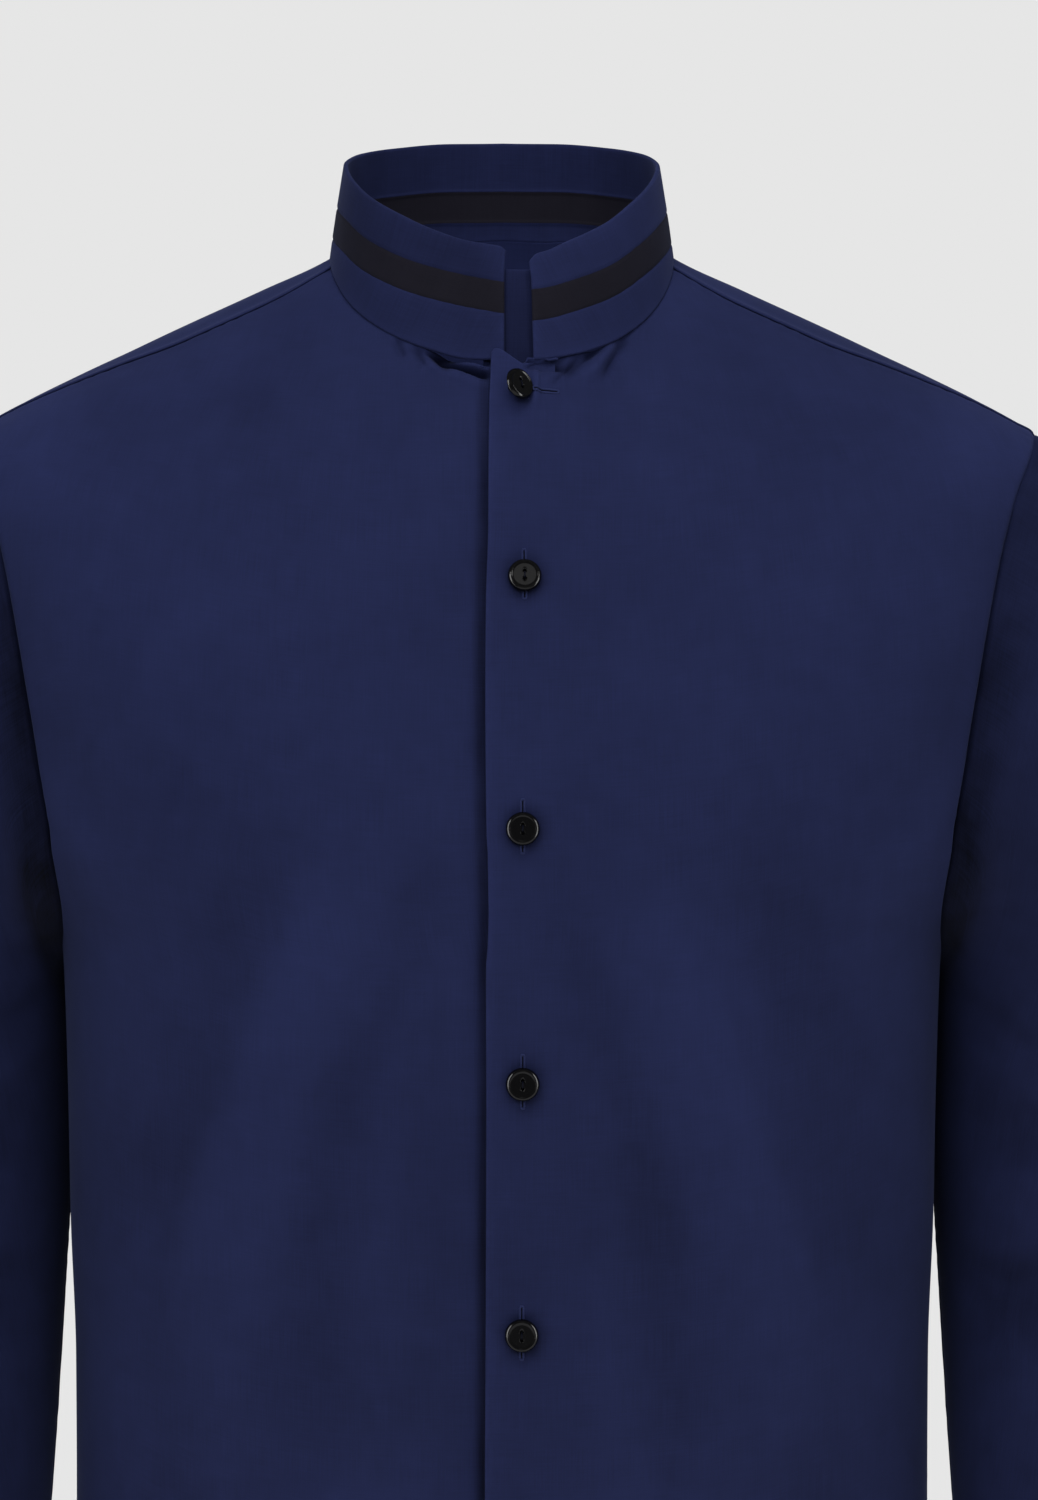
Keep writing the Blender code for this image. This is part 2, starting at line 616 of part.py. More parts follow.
def sleeve_grid(side):
    """Points of a sleeve, rows from the armhole to the cuff. The columns close round."""
    edge = armhole_edge(side) * [side, 1, 1]
    turn, place, depth = sleeve_turns(side)
    at = station_curves(SLEEVE_STATIONS)
    rows = []
    last = len(SLEEVE_STATIONS) - 1
    for q in np.linspace(0, last, SLEEVE_STEPS + 1)[1:]:
        shape = smoothstep(q, 0, 5)
        across = (1 - shape) * place + shape * (1 - np.cos(turn)) / 2
        deep = (1 - shape) * depth - shape * np.sin(turn)
        x = at["inner_x"](q) + (at["outer_x"](q) - at["inner_x"](q)) * across
        z = at["inner_z"](q) + (at["outer_z"](q) - at["inner_z"](q)) * across
        y = at["centre_y"](q) + at["half_depth"](q) * deep
        rows.append(np.stack([x, y, z], axis=-1))
    first = sleeve_start(edge, rows[0])
    points = np.stack([first] + rows)
    points = points + tube_normals(points) * sleeve_fold_height(turn, points)[..., None]
    return points * [side, 1, 1]


def sleeve_start(edge, next_row):
    """The sleeve's own edge: beside the armhole, clear of the body's cloth."""
    ahead = next_row - edge
    ahead /= np.linalg.norm(ahead, axis=-1, keepdims=True)
    under = (1 - smoothstep(edge[:, 2], ARMPIT_Z, ARMPIT_Z + 0.05))[:, None]
    clear = SEAM_GAP + CLOTH / 2
    aside = np.array([SEAM_GAP + CLOTH, 0, 0])
    return edge + ahead * clear * (1 - under) + aside * under


def tube_normals(points):
    """Unit normals of a grid that closes round, pointing out of the tube."""
    around = np.roll(points, -1, axis=1) - np.roll(points, 1, axis=1)
    found = np.cross(np.gradient(points, axis=0), around)
    return found / np.maximum(np.linalg.norm(found, axis=-1, keepdims=True), 1e-12)


def sleeve_fold_height(turn, points):
    """How far out the sleeve's cloth stands where its folds cross it."""
    turn = np.degrees(turn)[None] + 0 * points[..., 2]
    total = np.zeros_like(turn)
    for fold in SLEEVE_FOLDS:
        along = (turn - fold.turn0) / (fold.turn1 - fold.turn0)
        middle = fold.z0 + (fold.z1 - fold.z0) * along
        aside = (points[..., 2] - middle) / fold.width
        ends = smoothstep(along, -0.2, 0.3) * smoothstep(-along, -1.2, -0.7)
        total += fold.depth * ends * np.exp(-(aside**2))
    return total


def cuff_grid(side):
    """Points of a cuff: a band whose upper end laps over the lower one behind the wrist."""
    lap = CUFF_OVERLAP / (SLEEVE_STATIONS[-1].half_depth * 2)
    start = CUFF_OVERLAP_TURN
    turns = np.linspace(start, start + 2 * math.pi + lap, CUFF_STEPS + 1)
    over = smoothstep(turns, start + 2 * math.pi - 0.5, start + 2 * math.pi)
    out = over * (CUFF_CLOTH + SEAM_GAP + CUFF_EASE)
    rows = []
    for station in CUFF_STATIONS:
        across = (1 - np.cos(turns)) / 2
        wide = station.outer_x - station.inner_x
        x = station.inner_x + wide * across - out * np.cos(turns)
        z = station.inner_z + (station.outer_z - station.inner_z) * across
        y = station.centre_y - (station.half_depth + out) * np.sin(turns)
        rows.append(np.stack([x, y, z], axis=-1))
    points = np.stack([rows[0], 0.5 * (rows[0] + rows[1]), rows[1]])
    return points * [side, 1, 1]


# ---------------------------------------------------------------- the collar


def rim_value(turn, kind):
    """A column of the rim's table, from the wearer's own side."""
    degrees = np.degrees(np.abs((turn + math.pi) % (2 * math.pi) - math.pi))
    left, right = rim_curves[f"left_{kind}"](degrees), rim_curves[f"right_{kind}"](degrees)
    return np.where((turn > 0) & (turn < math.pi), left, right)


def collar_top(turn):
    """Points along the top edge of the band."""
    x, y = neck_plan(turn, COLLAR_TOP_HALF_WIDTH, COLLAR_TOP_FRONT, COLLAR_TOP_BACK)
    return np.stack([x, y, rim_value(turn, "z")], axis=-1)


def neck_line():
    """Angles of the body's corners along the collar seam, the whole way round from the front."""
    left, right = front_neck_turns(1), 2 * math.pi + front_neck_turns(-1)
    behind = np.linspace(NECK_POINT_ANGLE, 2 * math.pi - NECK_POINT_ANGLE, 2 * NECK_STEPS + 1)
    return np.concatenate([left[:-1], behind, right[:-1][::-1]])


def collar_base(turn, lifted=False):
    """Points along the lower edge of the band, just above the body's edge and as straight as it is."""
    corners = neck_line()
    seam = upper_point(*neck_seam(corners))
    if lifted:
        x = NECK_HALF_WIDTH * np.sin(corners)
        side = np.where(corners < math.pi, 1, -1)
        lift = np.where(np.cos(corners) > 0, lap_lift(x, side), 0)
        seam = seam + surface_normal(*neck_seam(corners)) * lift[:, None]
    seam = np.stack([np.interp(turn, corners, seam[:, axis]) for axis in range(3)], axis=-1)
    rise = collar_top(turn) - seam
    rise /= np.linalg.norm(rise, axis=-1, keepdims=True)
    return seam + rise * (SEAM_GAP + CLOTH / 2)


def collar_turns():
    """Angles round the band, from the wearer's left end, behind the neck, to the right end."""
    first = math.asin(COLLAR_LEFT_END_X / NECK_HALF_WIDTH)
    last = 2 * math.pi + math.asin(COLLAR_RIGHT_END_X / NECK_HALF_WIDTH)
    return np.linspace(first, last, COLLAR_STEPS + 1)


def collar_edges():
    """Points along the band's lower and upper edges, its ends moved out or in beside the closure."""
    turns = collar_turns()
    x = NECK_HALF_WIDTH * np.sin(turns)
    side = np.where(turns < math.pi, 1, -1)
    lift = np.where(np.cos(turns) > 0, lap_lift(x, side), 0)
    out = np.stack([np.sin(turns), -np.cos(turns), 0 * turns], axis=-1)
    return collar_base(turns, lifted=True), collar_top(turns) + out * lift[:, None]


def collar_grid(low, high):
    """Points of a strip of the band between two shares of its height, given for each column."""
    base, top = collar_edges()
    rows = [base + (top - base) * share[:, None] for share in (low, 0.5 * (low + high), high)]
    return np.stack(rows)


def collar_shares():
    """Shares of the band's height where the stripe starts and ends, for each column."""
    turns = collar_turns()
    height = np.linalg.norm(collar_top(turns) - collar_base(turns), axis=-1)
    stripe_top = 1 - rim_value(turns, "strip") / height
    return stripe_top - STRIPE_WIDTH / height, stripe_top, SEAM_GAP / 2 / height


def tab_grid():
    """Points of the narrow underlap that closes the gap behind the two ends of the band."""
    behind = LAP_LIFT + COLLAR_CLOTH / 2 + CLOTH / 2 + TAB_CLEARANCE
    x = np.linspace(TAB_RIGHT_X, TAB_LEFT_X, TAB_STEPS + 1)
    turns = np.arcsin(x / NECK_HALF_WIDTH)
    base, top = collar_base(turns), collar_top(turns)
    top[:, 2] = (COLLAR_RIM[0].right_z + COLLAR_RIM[0].left_z) / 2
    rows = []
    for z in np.linspace(TAB_BOTTOM_Z, TAB_TOP_Z, TAB_STEPS + 1):
        share = (z - base[:, 2]) / (top[:, 2] - base[:, 2])
        row = base + (top - base) * share[:, None]
        row[:, 0] = x
        rows.append(row + [0, behind, 0])
    return np.stack(rows)


# ---------------------------------------------------------------- Blender objects


def material(name):
    """One of the finishes, made when it is first asked for."""
    found = bpy.data.materials.get(name)
    if found:
        return found
    colour, roughness = FINISHES[name]
    made = bpy.data.materials.new(name)
    made.use_nodes = True
    shader = made.node_tree.nodes["Principled BSDF"]
    shader.inputs["Base Color"].default_value = colour
    shader.inputs["Roughness"].default_value = roughness
    shader.inputs["Metallic"].default_value = 0.0
    made.diffuse_color = colour
    return made


def add_object(name, mesh, finish):
    """Puts a mesh into the shirt's collection as a named object."""
    made = bpy.data.objects.new(name, mesh)
    if not mesh.materials:
        mesh.materials.append(material(finish))
    bpy.data.collections["mandarin_collar_shirt"].objects.link(made)
    return made


def cloth_object(name, points, outward, thickness, finish, closes=False):
    """A panel of cloth: the grid's faces, given a wall by a Solidify modifier."""
    rows, columns = points.shape[:2]
    index = np.arange(rows * columns).reshape(rows, columns)
    if closes:
        index = np.hstack([index, index[:, :1]])
    quads = np.stack([index[:-1, :-1], index[:-1, 1:], index[1:, 1:], index[1:, :-1]], axis=-1)
    quads = quads.reshape(-1, 4)
    if outward < 0:
        quads = quads[:, ::-1]
    mesh = bpy.data.meshes.new(name)
    mesh.from_pydata(points.reshape(-1, 3).tolist(), [], quads.tolist())
    mesh.shade_smooth()
    made = add_object(name, mesh, finish)
    wall = made.modifiers.new("wall", "SOLIDIFY")
    wall.thickness = thickness
    wall.offset = 0.0
    return made


def button_mesh():
    """A round button with a raised rim and two holes, its back at z = 0."""
    profile = (
        (0.0, BUTTON_HEIGHT - BUTTON_DISH),
        (BUTTON_RADIUS - 1.7 * BUTTON_RIM, BUTTON_HEIGHT - BUTTON_DISH),
        (BUTTON_RADIUS - BUTTON_RIM, BUTTON_HEIGHT),
        (BUTTON_RADIUS - 0.3 * BUTTON_RIM, BUTTON_HEIGHT - 0.2 * BUTTON_DISH),
        (BUTTON_RADIUS, BUTTON_HEIGHT - 1.4 * BUTTON_DISH),
        (BUTTON_BACK_RADIUS, 0.0),
        (0.0, 0.0),
    )
    outline = bpy.data.meshes.new("button_profile")
    spine = [(radius, 0, height) for radius, height in profile]
    outline.from_pydata(spine, [(i, i + 1) for i in range(len(spine) - 1)], [])
    disc = bpy.data.objects.new("button_blank", outline)
    helpers = bpy.data.collections["cutters"]
    helpers.objects.link(disc)
    turned = disc.modifiers.new("turned", "SCREW")
    turned.steps = turned.render_steps = BUTTON_SIDES
    turned.use_merge_vertices = True
    turned.merge_threshold = 0.00001
    for side in (-1, 1):
        bpy.ops.mesh.primitive_cylinder_add(
            vertices=6,
            radius=BUTTON_HOLE_RADIUS,
            depth=4 * BUTTON_HEIGHT,
            location=(0, side * BUTTON_HOLE_SPACING / 2, 0),
        )
        drill = bpy.context.object
        drill.name = f"button_drill_{'lower' if side < 0 else 'upper'}"
        for held in list(drill.users_collection):
            held.objects.unlink(drill)
        helpers.objects.link(drill)
        drill.display_type = "WIRE"
        drill.hide_render = True
        cut = disc.modifiers.new(drill.name, "BOOLEAN")
        cut.operation = "DIFFERENCE"
        cut.object = drill
    bpy.context.view_layer.update()
    graph = bpy.context.evaluated_depsgraph_get()
    mesh = bpy.data.meshes.new_from_object(disc.evaluated_get(graph))
    mesh.name = "button"
    bpy.data.objects.remove(disc)
    mesh.materials.clear()
    mesh.set_sharp_from_angle(angle=math.radians(35))
    return mesh


def place_button(name, mesh, point, out, cloth, turn=0.0):
    """Puts a button on the cloth at a point, facing along out, with its back just clear of it."""
    made = add_object(name, mesh, "black_button")
    out = Vector(out).normalized()
    up = (Vector((0, 0, 1)) - out * out.z).normalized()
    frame = Matrix((up.cross(out), up, out)).transposed()
    clear = cloth / 2 + BUTTON_CLEARANCE + BUTTON_BACK_RADIUS * math.sin(abs(turn))
    made.matrix_world = (
        Matrix.Translation(Vector(point) + out * clear)
        @ frame.to_4x4()
        @ Matrix.Rotation(turn, 4, "Y")
    )
    return made


def front_point(x, z):
    """(point, outward direction) on the buttonhole side's cloth, at a place seen from the front."""
    if z > CHEST_Z:
        u = np.array([x / armhole_x(z)])
        a = level_angle(u, z, False)
        point, out = upper_point(u, a)[0], surface_normal(u, a)[0]
    else:
        spots = []
        for level in (z, z - 0.001, z + 0.001):
            angle = math.asin((x / half_width(level)) ** (RING_POWER / 2))
            y = -front_depth(level) * math.cos(angle) ** (2 / RING_POWER)
            spots.append(np.array([x, y, level]))
        point = spots[0]
        along = spots[2] - spots[1]
        out = np.cross([1.0, 0.0, 0.0], along) / np.linalg.norm(along)
    return point + out * LAP_LIFT, out


def add_buttons():
    """The front's buttons, and one on the outer end of each cuff."""
    mesh = button_mesh()
    for number, row in enumerate(BUTTONS, 1):
        point, out = front_point(row.x, row.z)
        place_button(f"button_{number}", mesh, point, out, CLOTH, math.radians(row.turn))
    for side, name in ((1, "left"), (-1, "right")):
        points = cuff_grid(side)
        column = -2  # the last but one, near the end that laps over
        out = tube_normals(points)[1, column] * side
        place_button(f"cuff_button_{name}", mesh, points[1, column], out, CUFF_CLOTH)


def add_sleeve(name, side):
    """A sleeve, its length shared by two solids so that each stays a simple tube."""
    points = sleeve_grid(side)
    upper = pull_back(points[: SLEEVE_PART_STEP + 1], rows=(0, 1))
    lower = pull_back(points[SLEEVE_PART_STEP:], rows=(1, 0))
    for part, grid in (("upper", upper), ("lower", lower)):
        node = f"sleeve_{name}_{part}"
        cloth_object(node, grid, -side, CLOTH, "navy_poplin", closes=True)


def add_collar():
    """The band: three strips one above another, and the underlap behind the gap in front."""
    bottom, top, gap = collar_shares()
    start, end = np.zeros_like(bottom), np.ones_like(bottom)
    strips = (
        ("collar_lower", start, bottom - gap, "navy_poplin"),
        ("collar_stripe", bottom + gap, top - gap, "black_tape"),
        ("collar_upper", top + gap, end, "navy_poplin"),
    )
    for name, low, high, finish in strips:
        cloth_object(name, collar_grid(low, high), 1, COLLAR_CLOTH, finish)
    cloth_object("collar_tab", tab_grid(), 1, CLOTH, "navy_poplin")


def clear_scene():
    """Starts from an empty scene, with one collection for the shirt and one for the cutters."""
    for found in list(bpy.data.objects):
        bpy.data.objects.remove(found)
    for name in ("mandarin_collar_shirt", "cutters"):
        bpy.context.scene.collection.children.link(bpy.data.collections.new(name))
    bpy.data.collections["cutters"].hide_render = True


def main():
    clear_scene()
    front_panel("front_left", 1)
    front_panel("front_right", -1)
    yoke = pull_back(yoke_grid(), rows=(1, 1), columns=(1, 1))
    cloth_object("yoke", yoke, -1, CLOTH, "navy_poplin")
    back = pull_back(back_grid(), rows=(0, 1), columns=(1, 1))
    cloth_object("back", back, -1, CLOTH, "navy_poplin")
    for side, name in ((1, "left"), (-1, "right")):
        add_sleeve(name, side)
        cloth_object(f"cuff_{name}", cuff_grid(side), -side, CUFF_CLOTH, "navy_poplin")
    add_collar()
    add_buttons()


main()
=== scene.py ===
"""Looks of the mandarin collar shirt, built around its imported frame.

Units are metres and +Z is up. The front faces -Y and +X is the wearer's left. Every piece of cloth
is a thin wall on the form that the frame's own solid has: a grid of points on the middle of the
cloth, worked out from the shirt's sizes, lifted along its normals by folds and creases, turned in
at its seams and thickened. Buttons, buttonholes and stitches are placed on those walls.
"""

from __future__ import annotations

import logging
import math
from dataclasses import dataclass, field
from enum import Enum
from typing import NamedTuple, Sequence

import bpy
import numpy as np
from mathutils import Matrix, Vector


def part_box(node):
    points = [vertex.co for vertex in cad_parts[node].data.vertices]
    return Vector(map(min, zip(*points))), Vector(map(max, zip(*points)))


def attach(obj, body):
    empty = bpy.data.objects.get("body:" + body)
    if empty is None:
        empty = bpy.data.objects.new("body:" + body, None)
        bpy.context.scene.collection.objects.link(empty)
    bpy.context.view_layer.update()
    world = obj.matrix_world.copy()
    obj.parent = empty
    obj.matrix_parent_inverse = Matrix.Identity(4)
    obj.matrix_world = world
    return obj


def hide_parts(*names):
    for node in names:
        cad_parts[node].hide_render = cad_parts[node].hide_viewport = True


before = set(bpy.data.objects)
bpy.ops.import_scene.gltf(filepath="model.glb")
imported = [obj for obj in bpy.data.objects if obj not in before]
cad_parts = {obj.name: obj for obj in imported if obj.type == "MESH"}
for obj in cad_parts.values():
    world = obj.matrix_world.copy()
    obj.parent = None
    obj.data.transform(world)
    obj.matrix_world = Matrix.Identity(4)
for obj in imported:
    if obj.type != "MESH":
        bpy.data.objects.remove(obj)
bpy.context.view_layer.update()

LOG = logging.getLogger("shirt")
BODY = "root"
MM = 0.001
TAU = 2 * math.pi
CLOTH_FACE = 0.6 * MM
HEM_STITCHES = 7 * MM
YOKE_STITCHES = 2.2 * MM
Array = np.ndarray
Row = tuple[float, ...]
Span = tuple[float, float]
Triple = tuple[float, float, float]

# --- curves and sampling


class Smooth:
    """A smooth function through the points of a table, level at its highs and lows."""

    def __init__(self, knots: Sequence[float], values: Sequence[float]) -> None:
        """Works out the tangents: the harmonic mean of the slopes on either side.

        Args:
            knots: Where the table's points are, rising.
            values: The table's values there.
        """
        self.knots = np.array(knots, float)
        self.values = np.array(values, float)
        self.spans = np.diff(self.knots)
        slopes = np.diff(self.values) / self.spans
        before, after = slopes[:-1], slopes[1:]
        same_way = before * after > 0
        total = np.where(same_way, before + after, 1.0)
        inner = np.where(same_way, 2 * before * after / total, 0.0)
        self.tangents = np.concatenate([slopes[:1], inner, slopes[-1:]])

    def __call__(self, where: Array | float) -> Array:
        """The cubic Hermite curve's value at each place.

        Args:
            where: Places, held to the table's range.

        Returns:
            Values of the same shape.
        """
        where = np.clip(where, self.knots[0], self.knots[-1])
        i = np.clip(np.searchsorted(self.knots, where) - 1, 0, len(self.spans) - 1)
        t = (where - self.knots[i]) / self.spans[i]
        return (
            self.values[i] * (1 + 2 * t) * (1 - t) ** 2
            + self.values[i + 1] * t**2 * (3 - 2 * t)
            + self.tangents[i] * self.spans[i] * t * (1 - t) ** 2
            - self.tangents[i + 1] * self.spans[i] * t**2 * (1 - t)
        )


class Table:
    """A short table with named columns. The first one says where each row is, and rises."""

    def __init__(self, names: str, *rows: Row) -> None:
        """Keeps the columns by their names, which each row has a number for."""
        self.columns = dict(zip(names.split(), np.array(rows).T))

    def __getitem__(self, name: str) -> Array:
        """A column's numbers."""
        return self.columns[name]

    def curve(self, name: str) -> Smooth:
        """The smooth function through a column."""
        return Smooth(next(iter(self.columns.values())), self.columns[name])


def smoothstep(value: Array | float, low: float, high: float) -> Array:
    """Rises smoothly from 0 at low to 1 at high: 3t^2 - 2t^3, with t the share of the way."""
    t = np.clip((value - low) / (high - low), 0, 1)
    return t * t * (3 - 2 * t)


def unit(vectors: Array) -> Array:
    """Vectors along the last axis, scaled to length 1."""
    return vectors / np.maximum(np.linalg.norm(vectors, axis=-1, keepdims=True), 1e-12)


def run_along(path: Array) -> Array:
    """How far along a path each of its points is."""
    return np.concatenate([[0], np.cumsum(np.linalg.norm(np.diff(path, axis=0), axis=-1))])


def points_at(places: Array, run: Array, path: Array) -> Array:
    """The points of a path at places along its run."""
    return np.stack([np.interp(places, run, path[:, i]) for i in range(3)], axis=-1)


def quarter_round(away: Array, radius: float) -> Array:
    """How far a corner's quarter circle falls, by the distance from the corner's side."""
    return radius * (1 - np.sqrt(1 - (1 - np.clip(away / radius, 0, 1)) ** 2))


def from_front(turn: Array) -> Array:
    """How far from the front an angle is, on either way round."""
    return np.abs((turn + math.pi) % TAU - math.pi)


TURNED_STEPS = (0.0, 0.07 * MM, 0.2 * MM, 0.4 * MM, 0.7 * MM, 1.1 * MM, 1.7 * MM, 2.6 * MM, 4 * MM)
HEM_STEPS = TURNED_STEPS + tuple(MM * d for d in (5, 5.8, 6.4, 6.8, 7.2, 7.6, 8.2, 9, 10.5))


def spaced(
    length: float, gap: float, start: Sequence[float] = (0.0,), end: Sequence[float] = (0.0,)
) -> Array:
    """Shares from 0 to 1 along a length, with close steps beside its ends.

    Args:
        length: The length.
        gap: About how far apart the places in the middle are.
        start: Distances from the start at which to have a place.
        end: Distances from the end at which to have a place.

    Returns:
        Rising shares.
    """
    low = np.array(start) / length
    high = 1 - np.array(end)[::-1] / length
    count = max(2, round((high[0] - low[-1]) * length / gap))
    middle = np.linspace(low[-1], high[0], count + 1)[1:-1]
    return np.concatenate([low, middle, high])


def steps_to(end: float, gap: float, start: float = 1.1 * MM) -> Row:
    """The turned edge's close steps as far as start, carried on evenly to the end."""
    close = tuple(step for step in TURNED_STEPS if step <= start)
    return close + tuple(np.arange(start + gap, end, gap))


# --- tables of the shirt's form

# Level rings through the body.
BODY_RINGS = Table(
    "z half_width front_depth back_depth",
    (-0.760, 0.1850, 0.1130, 0.1120),
    (-0.680, 0.1815, 0.1110, 0.1095),
    (-0.600, 0.1780, 0.1075, 0.1030),
    (-0.520, 0.1774, 0.1060, 0.0965),
    (-0.457, 0.1777, 0.1085, 0.0950),
    (-0.400, 0.1799, 0.1125, 0.0980),
    (-0.352, 0.1808, 0.1165, 0.1035),
    (-0.300, 0.1824, 0.1198, 0.1110),
    (-0.285, 0.1834, 0.1204, 0.1124),
    (-0.240, 0.1975, 0.1212, 0.1160),
    (-0.200, 0.1975, 0.1212, 0.1160),
)
# How far from the middle an edge runs, at a height.
ARMHOLE_EDGE = Table(
    "z x",
    (-0.260, 0.1830),
    (-0.240, 0.1850),
    (-0.209, 0.1905),
    (-0.184, 0.1948),
    (-0.164, 0.1982),
    (-0.127, 0.2056),
    (-0.102, 0.2125),
    (-0.072, 0.2225),
    (0.060, 0.2225),
)
CLOSURE_EDGE = Table(
    "z x",
    (-0.760, -0.0052),
    (-0.506, -0.0056),
    (-0.426, -0.0053),
    (-0.346, -0.0051),
    (-0.300, -0.0052),
    (-0.275, -0.0050),
    (-0.255, -0.0056),
    (-0.217, -0.0062),
    (-0.185, -0.0064),
    (-0.145, -0.0062),
    (-0.115, -0.0053),
    (-0.088, -0.0052),
    (-0.063, -0.0050),
    (-0.0454, -0.0038),
)
# The top of each slice over the shoulder, and how far below it the seam runs in front.
SHOULDER_SLICES = Table(
    "x top_y top_z seam_drop",
    (-0.0240, 0.0213, 0.0403, 0.0056),
    (0.0000, 0.0220, 0.0470, 0.0056),
    (0.0240, 0.0213, 0.0403, 0.0056),
    (0.0360, 0.0201, 0.0325, 0.0056),
    (0.0510, 0.0185, 0.0202, 0.0056),
    (0.0630, 0.0160, 0.0093, 0.0056),
    (0.0720, 0.0125, 0.0020, 0.0057),
    (0.1000, 0.0105, -0.0114, 0.0084),
    (0.1300, 0.0090, -0.0252, 0.0084),
    (0.1600, 0.0070, -0.0394, 0.0054),
    (0.1800, 0.0050, -0.0491, 0.0034),
    (0.2000, 0.0025, -0.0593, 0.0018),
    (0.2225, 0.0000, -0.0725, 0.0004),
)
# The band's top edge, and the navy strip above its stripe, at degrees round from the front.
COLLAR_RIM = Table(
    "turn right_z left_z right_strip left_strip",
    (0, 0.0016, -0.0030, 0.0150, 0.0146),
    (13, 0.0042, -0.0011, 0.0147, 0.0152),
    (25, 0.0088, 0.0045, 0.0157, 0.0170),
    (40, 0.0161, 0.0120, 0.0172, 0.0180),
    (55, 0.0236, 0.0218, 0.0174, 0.0183),
    (70, 0.0320, 0.0304, 0.0172, 0.0182),
    (82, 0.0380, 0.0368, 0.0184, 0.0194),
    (90, 0.0413, 0.0403, 0.0193, 0.0204),
    (100, 0.0440, 0.0434, 0.0200, 0.0205),
    (115, 0.0480, 0.0478, 0.0205, 0.0207),
    (135, 0.0519, 0.0519, 0.0208, 0.0208),
    (160, 0.0552, 0.0552, 0.0207, 0.0207),
    (180, 0.0558, 0.0558, 0.0207, 0.0207),
)
# Rings round the sleeve and the cuff, between a point at the underarm and one on the outside.
STATION = "number inner_x inner_z outer_x outer_z centre_y half_depth"
SLEEVE_STATIONS = Table(
    STATION,
    (0, 0.1835, -0.2896, 0.2225, -0.0720, 0.000, 0.0572),
    (1, 0.1846, -0.2930, 0.2385, -0.0840, 0.001, 0.0592),
    (2, 0.1844, -0.2968, 0.2540, -0.1040, 0.003, 0.0612),
    (3, 0.1842, -0.3012, 0.2675, -0.1330, 0.005, 0.0626),
    (4, 0.1838, -0.3075, 0.2780, -0.1700, 0.008, 0.0636),
    (5, 0.1834, -0.3160, 0.2855, -0.2140, 0.011, 0.0640),
    (6, 0.1830, -0.3280, 0.2900, -0.2620, 0.014, 0.0636),
    (7, 0.1826, -0.3450, 0.2910, -0.3120, 0.016, 0.0625),
    (8, 0.1822, -0.3680, 0.2895, -0.3560, 0.017, 0.0608),
    (9, 0.1832, -0.3950, 0.2868, -0.3920, 0.016, 0.0590),
    (10, 0.1848, -0.4250, 0.2840, -0.4260, 0.013, 0.0572),
    (11, 0.1864, -0.4600, 0.2815, -0.4640, 0.006, 0.0545),
    (12, 0.1886, -0.5050, 0.2790, -0.5110, -0.006, 0.0512),
    (13, 0.1914, -0.5500, 0.2770, -0.5570, -0.020, 0.0480),
    (14, 0.1944, -0.5880, 0.2752, -0.5950, -0.034, 0.0452),
    (15, 0.1972, -0.6120, 0.2736, -0.6190, -0.0425, 0.0420),
    (16, 0.1998, -0.6210, 0.2716, -0.6280, -0.0448, 0.0377),
    (17, 0.2002, -0.6258, 0.2712, -0.6328, -0.0452, 0.0372),
)
CUFF_STATIONS = Table(
    STATION,
    (0, 0.2002, -0.6266, 0.2712, -0.6336, -0.0453, 0.0372),
    (1, 0.2040, -0.6866, 0.2700, -0.6926, -0.0610, 0.0350),
)
# How far the top edge of the buttonhole side stands over the collar seam.
LAPEL_EDGE = Table(
    "x rise",
    (-0.0060, 0.0040),
    (-0.0022, 0.0044),
    (0.0012, 0.0030),
    (0.0050, 0.0006),
    (0.0083, -0.0012),
    (0.0118, 0.0000),
    (0.0200, 0.0000),
)
# How far the button's face stands over the floor of its dish, in millimetres.
BUTTON_FACE = Table(
    "radius rise",
    (0, 0),
    (4.65, 0),
    (5.05, 0.10),
    (5.35, 0.25),
    (5.55, 0.28),
    (5.70, 0.23),
    (6.05, 0),
    (6.25, -0.14),
    (6.45, -0.47),
    (6.65, -0.97),
    (6.8, -1.52),
)
# The button's side and back, from the rim inwards, in millimetres.
BUTTON_BACK = Table(
    "order radius height",
    (0, 6.72, 1.05),
    (1, 6.4, 0.75),
    (2, 5.9, 0.38),
    (3, 5.4, 0.10),
    (4, 4.9, 0),
    (5, 0, 0),
)


class Crease(NamedTuple):
    """A soft ridge, or a trough where height is negative, between two places on a piece.

    Lengths are in millimetres. across and up are x and z seen from the front or back, x and y on the
    yoke, or the turn in degrees and z on a sleeve. bow bends its middle sideways.
    """

    across0: float
    up0: float
    across1: float
    up1: float
    width: float
    height: float
    bow: float = 0.0


FRONT_FOLDS = (
    (-70, -260, -128, -430, 26, 3),
    (-95, -250, -152, -410, 22, -3),
    (70, -280, 124, -440, 26, 3),
    (104, -255, 156, -420, 22, -3),
    (-52, -520, -82, -700, 26, 3.6),
    (50, -530, 88, -700, 26, 3.6),
    (-122, -520, -132, -690, 22, -3.4),
    (126, -500, 134, -690, 22, -3.4),
)
BACK_FOLDS = (
    (-45, -180, -60, -690, 30, 3.6),
    (48, -200, 58, -680, 30, 3.6),
    (-105, -300, -92, -560, 24, -3.6),
    (108, -280, 94, -580, 24, -3.6),
    (0, -350, 4, -720, 26, -3),
)
SLEEVE_FOLDS = (
    (62, -330, 150, -300, 16, 3),
    (40, -372, 135, -352, 15, -3),
    (45, -405, 140, -398, 14, 3.8),
    (50, -438, 150, -446, 14, -3.6),
    (60, -470, 150, -490, 14, 3.2),
    (230, -350, 310, -420, 18, -3),
    (225, -440, 300, -500, 18, 3),
    (120, -560, 215, -585, 14, 2.8),
)

